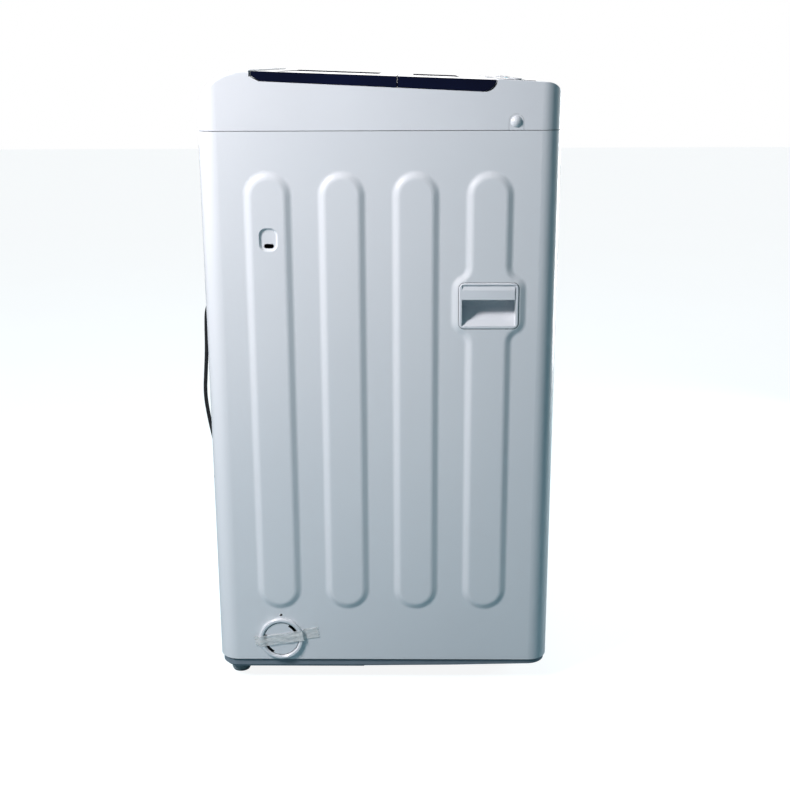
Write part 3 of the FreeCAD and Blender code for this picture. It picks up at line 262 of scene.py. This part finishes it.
def brushed_steel(name):
    """Rolled stainless sheet with fine upright brushing."""
    material, tree, shader = new_material(name)
    lines = noise(tree, 260.0, 5.0, (1, 1, 0.04))
    tree.links.new(blend_colours(tree, lines, (0.56, 0.57, 0.58), (0.78, 0.79, 0.8)),
                   shader.inputs["Base Color"])
    tree.links.new(ramp(tree, lines, 0.25, 0.75, 0.18, 0.34), shader.inputs["Roughness"])
    bump(tree, shader, lines, 0.12, 0.0001)
    shader.inputs["Metallic"].default_value = 1.0
    return material


def ribbed_rubber(name, colour):
    """Corrugated hose: rings across a slanting direction, so every part of the bent hose shows them, with
    painted shade darkening their grooves.
    """
    material, tree, shader = new_material(name)
    place = tree.nodes.new("ShaderNodeTexCoord")
    rings = tree.nodes.new("ShaderNodeTexWave")
    rings.bands_direction = "DIAGONAL"
    rings.inputs["Scale"].default_value = 55.0
    rings.inputs["Distortion"].default_value = 0.3
    tree.links.new(place.outputs["Object"], rings.inputs["Vector"])
    # Painted shade: the colour goes darker in the grooves, where the bump is low.
    tree.links.new(blend_colours(tree, rings.outputs["Fac"], shade(colour, 0.6), colour),
                   shader.inputs["Base Color"])
    tree.links.new(ramp(tree, noise(tree, 200.0), 0.3, 0.7, 0.5, 0.68), shader.inputs["Roughness"])
    bump(tree, shader, rings.outputs["Fac"], 0.8, 0.0015)
    return material


def creased_film(name):
    """Clear packing tape: milky along its creases, see-through between them."""
    material, tree, shader = new_material(name)
    creases = noise(tree, 120.0, 4.0, (1, 0.35, 1.6), 0.65)
    tree.links.new(blend_colours(tree, creases, (0.88, 0.91, 0.92), (0.98, 0.98, 0.96)),
                   shader.inputs["Base Color"])
    tree.links.new(ramp(tree, creases, 0.36, 0.64, 0.3, 0.7), shader.inputs["Alpha"])
    tree.links.new(ramp(tree, creases, 0.3, 0.7, 0.2, 0.4), shader.inputs["Roughness"])
    bump(tree, shader, creases, 0.6, 0.0008)
    shader.inputs["Specular IOR Level"].default_value = 0.6
    return material


def paint_port_shade(material):
    """Painted shade: the plastic is painted near black inside the drain port, behind its cap."""
    tree = material.node_tree
    colour = tree.nodes["Principled BSDF"].inputs["Base Color"]
    shown = colour.links[0].from_socket
    # near black painted shade in the port's hollow
    tree.links.new(mix_colours(tree, port_shade_mask(tree), shown, (0.006, 0.008, 0.01)), colour)


def make_materials():
    """One material for each slot of the record."""
    made = {
        "white_steel": enamel("white_steel"),
        "zinc_sheet": galvanised("zinc_sheet"),
        "tinted_window": smoked_glass("tinted_window", (0.03, 0.04, 0.08), 0.75),
        "display_glass": smoked_glass("display_glass", (0.02, 0.015, 0.02), 0.5),
        "stainless": brushed_steel("stainless"),
        "hose_rubber": ribbed_rubber("hose_rubber", (0.2, 0.21, 0.22)),
        "clear_tape": creased_film("clear_tape"),
    }
    plain = {
        # slot: (colour, roughness, extra settings)
        "white_plastic": ((0.8, 0.825, 0.86), 0.33, dict(coat=0.2, grain=1400.0, grain_strength=0.12)),
        "grey_plastic": ((0.2, 0.245, 0.29), 0.5, dict(grain=1500.0, grain_strength=0.3, vary=0.06)),
        "foot_rubber": ((0.33, 0.37, 0.4), 0.62, dict(grain=1200.0, vary=0.08, specular=0.3)),
        "zinc": ((0.62, 0.64, 0.66), 0.3, dict(metal=1.0, grain=700.0, vary=0.06)),
        "navy_gloss": ((0.002, 0.0045, 0.024), 0.1,
                       dict(coat=0.6, grain=300.0, grain_strength=0.04, vary=0.3, rough_vary=0.03)),
        "steel_pin": ((0.55, 0.55, 0.56), 0.28, dict(metal=1.0, grain=900.0, stretch=(0.1, 1, 1))),
        "fascia_gloss": ((0.012, 0.018, 0.05), 0.16,
                         dict(coat=0.4, grain=500.0, grain_strength=0.05, vary=0.2)),
        "circuit_board": ((0.02, 0.12, 0.05), 0.4, dict(cloud=90.0, vary=0.35, grain=800.0)),
        "valve_plastic": ((0.72, 0.71, 0.66), 0.5, dict(grain=1200.0, vary=0.05)),
        "tub_plastic": ((0.66, 0.69, 0.7), 0.42, dict(grain=700.0, vary=0.05, grain_strength=0.25)),
        "black_plastic": ((0.02, 0.02, 0.022), 0.42, dict(grain=1300.0, vary=0.15)),
        "spring_steel": ((0.2, 0.2, 0.21), 0.35, dict(metal=1.0, grain=1500.0, vary=0.2)),
        "cast_aluminium": ((0.5, 0.51, 0.52), 0.45,
                           dict(metal=1.0, grain=450.0, grain_strength=0.5, depth=0.0002)),
        "ring_plastic": ((0.5, 0.56, 0.66), 0.3, dict(coat=0.2, grain=1300.0)),
        "pulsator_plastic": ((0.6, 0.65, 0.72), 0.28, dict(coat=0.25, grain=1300.0)),
        "motor_black": ((0.02, 0.02, 0.023), 0.38, dict(grain=800.0, vary=0.2, grain_strength=0.3)),
        "belt_rubber": ((0.016, 0.016, 0.017), 0.62, dict(grain=900.0, vary=0.25, specular=0.3)),
        "button_plastic": ((0.62, 0.64, 0.67), 0.26, dict(coat=0.3, grain=1500.0)),
        "cord_black": ((0.012, 0.012, 0.014), 0.42, dict(grain=1300.0, vary=0.3, cloud=25.0)),
        "plug_black": ((0.014, 0.014, 0.016), 0.48, dict(grain=1500.0, vary=0.25, cloud=30.0)),
    }
    for slot, (colour, rough, extra) in plain.items():
        made[slot] = finish_of(slot, colour, rough, **extra)
    # painted shade inside the drain port
    paint_port_shade(made["white_plastic"])
    return made


def paint_nodes(made):
    """Every CAD node gets the material of its slot."""
    for part in frame["record"]["subparts"]:
        node = nodes[part["node"]]
        if not node.material_slots:
            node.data.materials.append(None)
        for place in node.material_slots:
            place.material = made[part["material_slot"]]


# ---------------------------------------------------------------- power cord
CORD_D = 0.007
# From the strain relief in the rear panel, down behind the cabinet and along the floor to the coil.
CORD_ROUTE = [
    (0.160, 0.277, 0.546),
    (0.160, 0.292, 0.5455),
    (0.160, 0.3065, 0.5399),
    (0.160, 0.3184, 0.5292),
    (0.160, 0.3256, 0.515),
    (0.1605, 0.3275, 0.488),
    (0.161, 0.3285, 0.443),
    (0.161, 0.332, 0.400),
    (0.1605, 0.3355, 0.357),
    (0.1595, 0.330, 0.312),
    (0.1585, 0.3215, 0.268),
    (0.158, 0.3135, 0.222),
    (0.158, 0.3085, 0.172),
    (0.1585, 0.306, 0.122),
    (0.1605, 0.305, 0.080),
    (0.166, 0.3045, 0.050),
    (0.178, 0.304, 0.026),
    (0.195, 0.3037, 0.010),
    (0.216, 0.3033, 0.0041),
    (0.240, 0.3025, 0.0038),
    (0.260, 0.2965, 0.0038),
    (0.274, 0.283, 0.0038),
    (0.281, 0.264, 0.0038),
    (0.282, 0.240, 0.0038),
    (0.2795, 0.212, 0.0038),
    (0.276, 0.187, 0.0038),
    (0.2748, 0.165, 0.0038),
]
COIL_X, COIL_Y = 0.317, 0.150
COIL_OUTER, COIL_PITCH = 0.0425, 0.0071
COIL_LOW, COIL_HIGH = 0.0038, 0.0109
LAYER_TURNS = 2  # in each of the two layers
COIL_CLIMB = 0.5  # of a turn, from the lower layer's inner end to the upper layer
COIL_STEPS = 16  # points for each turn
CLIMB_DIP = 0.0012  # the climbing half turn runs this far inside
SPLINE_SHRINK = 1.0194  # a spline runs inside the points of a circle by this factor


def coil_points():
    """Two turns in, half a turn up and two turns out, anticlockwise from the coil's inner side."""
    all_turns = 2 * LAYER_TURNS + COIL_CLIMB
    points = []
    for k in range(int(COIL_STEPS * all_turns) + 1):
        turn = k / COIL_STEPS
        if turn <= LAYER_TURNS:
            radius, height = COIL_OUTER - COIL_PITCH * turn, COIL_LOW
        elif turn < LAYER_TURNS + COIL_CLIMB:
            share = (turn - LAYER_TURNS) / COIL_CLIMB
            radius = COIL_OUTER - LAYER_TURNS * COIL_PITCH - CLIMB_DIP * math.sin(math.pi * share)
            height = COIL_LOW + (COIL_HIGH - COIL_LOW) * share
        else:
            radius, height = COIL_OUTER - COIL_PITCH * (all_turns - turn), COIL_HIGH
        angle = math.pi + 2 * math.pi * turn
        radius *= SPLINE_SHRINK
        points.append((COIL_X + radius * math.cos(angle), COIL_Y + radius * math.sin(angle), height))
    return points


def spline_curve(name, points, bevel):
    """A round cable along a smooth line that starts and ends at the outer points and passes near the rest."""
    data = bpy.data.curves.new(name, "CURVE")
    data.dimensions = "3D"
    data.bevel_depth = bevel
    data.bevel_resolution = 5
    data.resolution_u = 8
    data.use_fill_caps = True
    spline = data.splines.new("NURBS")
    spline.points.add(len(points) - 1)
    for control, point in zip(spline.points, points):
        control.co = (*point, 1)
    spline.order_u = 3
    spline.use_endpoint_u = True
    made = bpy.data.objects.new(name, data)
    scene.collection.objects.link(made)
    return made


def make_cord(made):
    """One cord in the place of the CAD cord and its coil, ending inside the plug."""
    end_x = COIL_X + COIL_OUTER
    tail = [(end_x, 0.163, 0.0108), (end_x, 0.179, 0.0105)]
    cord = spline_curve("mains_lead", CORD_ROUTE + coil_points() + tail, CORD_D / 2)
    cord.data.materials.append(made["cord_black"])
    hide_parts("power_cord", "cord_coil")
    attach(cord, "root")
    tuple(CORD_ROUTE[0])


# ---------------------------------------------------------------- thin and perforated pieces
def mesh_piece(name, points, faces, material, body, smooth=True):
    """A mesh with its material and body."""
    data = bpy.data.meshes.new(name)
    data.from_pydata(points, [], faces)
    data.update()
    for face in data.polygons:
        face.use_smooth = smooth
    data.materials.append(material)
    made = bpy.data.objects.new(name, data)
    scene.collection.objects.link(made)
    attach(made, body)
    return made


def thicken(piece, thickness, offset):
    """Gives a surface thickness: offset 0 spreads it to both sides, 1 puts it outside."""
    solid = piece.modifiers.new("thickness", "SOLIDIFY")
    solid.thickness = thickness
    solid.offset = offset


def grid_faces(columns, rows):
    """Quads over points listed row by row."""
    faces = []
    for row in range(rows - 1):
        for column in range(columns - 1):
            first = row * columns + column
            faces.append((first, first + 1, first + columns + 1, first + columns))
    return faces


TAPE_TILT = -8.9  # degrees
TAPE_WIDTH = 0.018
TAPE_SHEET = 0.00012
TAPE_RAISE = 0.0011  # the strip's middle line runs this far above the port's centre
# (distance along the strip, height above the side): up over the port's ring and down again
TAPE_PROFILE = [
    (-0.042, 0.0002), (-0.0378, 0.0002), (-0.0348, 0.0052), (-0.029, 0.0052), (-0.0245, 0.0043),
    (0.0245, 0.0043), (0.029, 0.0052), (0.0348, 0.0052), (0.0378, 0.0002), (0.059, 0.0002),
]


def tape_height(along):
    """Height of the strip above the cabinet's side."""
    for (start, low), (end, high) in zip(TAPE_PROFILE, TAPE_PROFILE[1:]):
        if along <= end:
            return low + (high - low) * (along - start) / (end - start)
    return TAPE_PROFILE[-1][1]


def tape_crease(along, across):
    """Height of two crossing sets of small wrinkles."""
    crossing = math.sin(210 * along + 160 * across) * math.sin(95 * along - 420 * across)
    lengthwise = math.sin(330 * across + 1.5 * math.sin(70 * along))
    return 0.00022 * abs(crossing) + 0.00028 * abs(lengthwise)


def make_tape(made):
    """A creased strip of clear tape across the drain cap, with ragged ends."""
    columns, rows = 150, 19
    first, last = TAPE_PROFILE[0][0], TAPE_PROFILE[-1][0]
    turn = Matrix.Rotation(math.radians(TAPE_TILT), 4, "X")
    points = []
    for row in range(rows):
        across = -TAPE_WIDTH / 2 + TAPE_WIDTH * row / (rows - 1)
        ragged = 0.0011 * math.sin(9.0 * row / rows * math.pi) + 0.0006 * math.sin(2.3 * row)
        for column in range(columns):
            share = column / (columns - 1)
            along = first + (last - first) * share + ragged * abs(1 - 2 * share)
            height = tape_height(along) + tape_crease(along, across)
            point = turn @ Vector((PANEL_X - height, -along, across))
            points.append((point.x, point.y + PORT_Y, point.z + PORT_Z + TAPE_RAISE))
    faces = grid_faces(columns, rows)
    tape = mesh_piece("tape_strip", points, faces, made["clear_tape"], "root")
    thicken(tape, TAPE_SHEET, 0)
    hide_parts("port_tape")


BASKET_RADIUS = 0.1909
BASKET_LOW, BASKET_HIGH = 0.2625, 0.7598
BASKET_SHEET = 0.0006
HEM_RADIUS = 0.1772  # the wall turns in to this radius at its bottom
BEADS = (0.3235, 0.7035)  # heights of the two rolled beads
BEAD_RISE, BEAD_REACH = 0.0015, 0.0024
HOLE_RADIUS = 0.0027
HOLES_AROUND, HOLE_ROWS = 72, 26
HOLE_FIELD_LOW, HOLE_PITCH = 0.3325, 0.01385
HOLE_CORNERS = 8


def basket_radius(height):
    """Radius of the basket's wall, with its two rolled beads."""
    radius = BASKET_RADIUS
    for bead in BEADS:
        radius += BEAD_RISE * math.exp(-((height - bead) / BEAD_REACH) ** 2)
    return radius


def plain_bands(at, step):
    """Closed bands of sheet below and above the holes, finer round the beads."""
    field_high = HOLE_FIELD_LOW + HOLE_ROWS * HOLE_PITCH
    below = [BASKET_LOW, 0.3, 0.317, 0.3205, 0.3235, 0.3265, 0.3295, HOLE_FIELD_LOW]
    above = [field_high, 0.6967, 0.7, 0.7035, 0.707, 0.71, 0.74, BASKET_HIGH]
    faces = []
    for levels in (below, above):
        for bottom, top in zip(levels, levels[1:]):
            for k in range(2 * HOLES_AROUND):
                start, end = k * step / 2, (k + 1) * step / 2
                faces.append((at(start, bottom), at(end, bottom), at(end, top), at(start, top)))
    return faces


def faces_round_hole(at, step, row, k):
    """Eight faces that fill one cell of sheet round its hole."""
    bottom, top = HOLE_FIELD_LOW + row * HOLE_PITCH, HOLE_FIELD_LOW + (row + 1) * HOLE_PITCH
    middle = (bottom + top) / 2
    left, centre, right = k * step, (k + 0.5) * step, (k + 1) * step
    edge = [(right, middle), (right, top), (centre, top), (left, top),
            (left, middle), (left, bottom), (centre, bottom), (right, bottom)]
    outer = [at(*place) for place in edge]
    inner = []
    for corner in range(HOLE_CORNERS):
        turn = 2 * math.pi / HOLE_CORNERS * corner
        inner.append(at(centre + HOLE_RADIUS / BASKET_RADIUS * math.cos(turn),
                        middle + HOLE_RADIUS * math.sin(turn)))
    faces = []
    for corner in range(HOLE_CORNERS):
        after = (corner + 1) % HOLE_CORNERS
        faces.append((outer[corner], outer[after], inner[after], inner[corner]))
    return faces


def make_basket_wall(made):
    """The spin basket's perforated wall: rows of round drain holes between plain bands."""
    step = 2 * math.pi / HOLES_AROUND
    points, known = [], {}

    def ring_point(angle, radius, height):
        points.append((radius * math.cos(angle), TUB_Y + radius * math.sin(angle), height))
        return len(points) - 1

    def at(angle, height):
        key = (round(angle / step * 1000) % (HOLES_AROUND * 1000), round(height * 1e6))
        if key not in known:
            known[key] = ring_point(angle, basket_radius(height), height)
        return known[key]

    faces = plain_bands(at, step)
    for row in range(HOLE_ROWS):
        for k in range(HOLES_AROUND):
            faces += faces_round_hole(at, step, row, k)
    hem = [ring_point(k * step / 2, HEM_RADIUS, BASKET_LOW) for k in range(2 * HOLES_AROUND)]
    for k in range(2 * HOLES_AROUND):
        after = (k + 1) % (2 * HOLES_AROUND)
        faces.append((hem[k], hem[after], at((k + 1) * step / 2, BASKET_LOW), at(k * step / 2, BASKET_LOW)))
    wall = mesh_piece("basket_wall", points, faces, made["stainless"], "basket")
    thicken(wall, BASKET_SHEET, 0)
    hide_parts("basket_shell")


# ---------------------------------------------------------------- control panel marks
PANEL_SLOPE = math.radians(3.2)
PANEL_PLACE = Matrix.Translation((0, -0.199, 0.9192)) @ Matrix.Rotation(PANEL_SLOPE, 4, "X")
# Heights of the marked faces above the panel's plane, and how thick the marks on them are.
FASCIA_TOP = 0.00062
GLASS_TOP = 0.00052
BUTTON_TOP = 0.00222
MARK_THICKNESS = 0.00012
POWER_X, START_X = -0.150, 0.150  # middles of the two end buttons
SMALL_BUTTONS_X = (-0.105, -0.062, 0.062)


def flat_marks(name, shapes, height, material, body):
    """Thin flat shapes, each a list of (x, y) corners on the sloping panel."""
    points, faces = [], []
    for shape in shapes:
        faces.append(tuple(range(len(points), len(points) + len(shape))))
        points += [tuple(PANEL_PLACE @ Vector((x, y, height))) for x, y in shape]
    marks = mesh_piece(name, points, faces, material, body, smooth=False)
    thicken(marks, MARK_THICKNESS, 1)


def bar(x, y, width, height):
    """Corners of a rectangle round its middle."""
    return [(x - width / 2, y - height / 2), (x + width / 2, y - height / 2),
            (x + width / 2, y + height / 2), (x - width / 2, y + height / 2)]


def dot(x, y, radius, sides=20):
    """Corners of a round dot."""
    return [(x + radius * math.cos(2 * math.pi * k / sides), y + radius * math.sin(2 * math.pi * k / sides))
            for k in range(sides)]


def arc_band(x, y, inner, outer, start, end, steps=14):
    """Quads along part of a ring, between two angles in degrees."""
    def spot(radius, angle):
        return x + radius * math.cos(angle), y + radius * math.sin(angle)

    shapes = []
    for k in range(steps):
        first = math.radians(start + (end - start) * k / steps)
        after = math.radians(start + (end - start) * (k + 1) / steps)
        shapes.append([spot(inner, first), spot(outer, first), spot(outer, after), spot(inner, after)])
    return shapes


SEGMENTS = {"4": "bcfg", "5": "acdfg"}
DIGIT_WIDTH, DIGIT_HEIGHT = 0.0065, 0.011


def digit(sign, x, y):
    """A seven-segment figure."""
    width, height = DIGIT_WIDTH, DIGIT_HEIGHT
    thick = width * 0.2
    places = {
        "a": bar(x, y + height / 2, width * 0.7, thick),
        "g": bar(x, y, width * 0.7, thick),
        "d": bar(x, y - height / 2, width * 0.7, thick),
        "f": bar(x - width / 2, y + height / 4, thick, height * 0.4),
        "b": bar(x + width / 2, y + height / 4, thick, height * 0.4),
        "c": bar(x + width / 2, y - height / 4, thick, height * 0.4),
    }
    return [places[segment] for segment in SEGMENTS[sign]]


def glowing(name, colour, strength):
    """A lit segment or lamp."""
    material, tree, shader = new_material(name)
    tree.links.new(blend_colours(tree, noise(tree, 900.0), shade(colour, 0.8), colour),
                   shader.inputs["Base Color"])
    shader.inputs["Emission Color"].default_value = (*colour, 1)
    shader.inputs["Emission Strength"].default_value = strength
    return material


def make_display(lit):
    """Two lit figures on the display window."""
    figures = digit("4", -0.006, 0.0) + digit("5", 0.006, 0.0)
    flat_marks("display_digits", figures, GLASS_TOP, lit, "root")


def make_panel_print(printed):
    """Bars, rings and rows of dots printed on the fascia, with no lettering."""
    lines = []
    for x in SMALL_BUTTONS_X:
        lines.append(bar(x, -0.0155, 0.017, 0.0009))
        lines += [dot(x - 0.0075 + 0.005 * k, 0.0135, 0.0011) for k in range(4)]
    lines += arc_band(POWER_X, 0.0, 0.0103, 0.0109, 0, 360, 36)
    lines += arc_band(START_X, 0.0, 0.0118, 0.0124, 0, 360, 36)
    lines += [bar(0.101, 0.008, 0.03, 0.0008), bar(0.101, -0.008, 0.03, 0.0008)]
    flat_marks("panel_print", lines, FASCIA_TOP, printed, "root")


def make_button_marks(dark):
    """The power sign and the start and pause sign, which move with their buttons."""
    power = arc_band(POWER_X, 0.0, 0.0028, 0.0036, 125, 415) + [bar(POWER_X, 0.003, 0.0008, 0.004)]
    flat_marks("power_mark", power, BUTTON_TOP, dark, "button_power")
    triangle = [(0.1465, -0.0028), (0.1505, 0.0), (0.1465, 0.0028)]
    start = [triangle, bar(0.1522, 0, 0.0009, 0.0056), bar(0.154, 0, 0.0009, 0.0056)]
    flat_marks("start_mark", start, BUTTON_TOP, dark, "button_start")


def make_panel_marks():
    printed = finish_of("print_grey", (0.62, 0.65, 0.68), 0.45, grain=1500.0)
    dark = finish_of("print_dark", (0.05, 0.06, 0.08), 0.45, grain=1500.0)
    lit = glowing("display_lit", (0.25, 0.85, 1.0), 1.2)
    lamp = glowing("lamp_lit", (0.9, 0.25, 0.1), 0.8)
    make_display(lit)
    make_panel_print(printed)
    flat_marks("panel_lamp", [dot(POWER_X, 0.0168, 0.0012)], FASCIA_TOP, lamp, "root")
    make_button_marks(dark)


# ---------------------------------------------------------------- room
def area_light(name, place, target, size, power, colour=(1.0, 1.0, 1.0)):
    """A rectangular lamp that faces its target."""
    data = bpy.data.lights.new(name, "AREA")
    data.shape = "RECTANGLE"
    data.size, data.size_y = size
    data.energy = power
    data.color = colour
    lamp = bpy.data.objects.new(name, data)
    scene.collection.objects.link(lamp)
    lamp.location = place
    direction = Vector(target) - lamp.location
    lamp.rotation_euler = direction.to_track_quat("-Z", "Y").to_euler()


def background(tree):
    """A white background of strength 1."""
    node = tree.nodes.new("ShaderNodeBackground")
    node.inputs["Color"].default_value = (1, 1, 1, 1)
    node.inputs["Strength"].default_value = 1.0
    return node


def mix_shaders(tree, share, first, second):
    node = tree.nodes.new("ShaderNodeMixShader")
    tree.links.new(share, node.inputs[0])
    tree.links.new(first.outputs[0], node.inputs[1])
    tree.links.new(second.outputs[0], node.inputs[2])
    return node


def make_floor():
    """A floor that looks pale itself but throws little light onto the machine."""
    bpy.ops.mesh.primitive_plane_add(size=24.0, location=(0, 0, 0))
    floor = bpy.context.object
    floor.name = "floor"
    material, tree, shader = new_material("pale_floor")
    tone = ramp(tree, noise(tree, 2.0), 0.3, 0.7, 0.0, 1.0)
    tree.links.new(blend_colours(tree, tone, (0.16, 0.27, 0.31), (0.19, 0.3, 0.34)),
                   shader.inputs["Base Color"])
    shader.inputs["Roughness"].default_value = 0.85
    shader.inputs["Specular IOR Level"].default_value = 0.1
    shader.inputs["Emission Color"].default_value = (1, 1, 1, 1)
    path = tree.nodes.new("ShaderNodeLightPath")
    glow = ramp(tree, path.outputs["Is Camera Ray"], 0.0, 1.0, 0.0, 0.9)
    tree.links.new(glow, shader.inputs["Emission Strength"])
    floor.data.materials.append(material)


def make_world():
    """White to look at, with a soft blue fill and a room of its own for glossy surfaces to mirror."""
    world = bpy.data.worlds.new("studio")
    world.use_nodes = True
    tree = world.node_tree
    soft = tree.nodes["Background"]
    soft.inputs["Color"].default_value = (0.45, 0.85, 1.0, 1)
    soft.inputs["Strength"].default_value = 0.16
    white = background(tree)
    mirror = background(tree)
    # The mirrored room has a low white wall on the machine's right and is darker elsewhere.
    place = tree.nodes.new("ShaderNodeTexCoord")
    split = tree.nodes.new("ShaderNodeSeparateXYZ")
    tree.links.new(place.outputs["Generated"], split.inputs["Vector"])
    side = ramp(tree, split.outputs["X"], -0.25, 0.3, 0.0, 1.45)
    low = ramp(tree, split.outputs["Z"], 0.34, 0.12, 0.12, 1.0)
    wall = tree.nodes.new("ShaderNodeMath")
    wall.operation = "MULTIPLY_ADD"
    wall.inputs[2].default_value = 0.06
    tree.links.new(side, wall.inputs[0])
    tree.links.new(low, wall.inputs[1])
    tree.links.new(wall.outputs["Value"], mirror.inputs["Strength"])
    path = tree.nodes.new("ShaderNodeLightPath")
    shiny = mix_shaders(tree, path.outputs["Is Glossy Ray"], soft, mirror)
    shown = mix_shaders(tree, path.outputs["Is Camera Ray"], shiny, white)
    tree.links.new(shown.outputs[0], tree.nodes["World Output"].inputs["Surface"])
    scene.world = world


def make_lights():
    """Name, place, target, size in metres, watts and, for the key, colour."""
    area_light("key", (-1.15, 1.15, 1.6), (-0.26, 0.12, 0.72), (0.42, 0.5), 37, (1.0, 0.94, 0.955))
    area_light("rim", (0.9, -1.5, 0.5), (0, -0.2, 0.5), (0.7, 0.8), 22)
    area_light("top", (0.45, 0.4, 2.5), (0, 0, 0.9), (1.2, 1.2), 26)


make_camera()
materials = make_materials()
paint_nodes(materials)
make_cord(materials)
make_tape(materials)
make_basket_wall(materials)
make_panel_marks()
make_floor()
make_world()
make_lights()
scene.view_settings.view_transform = "Standard"
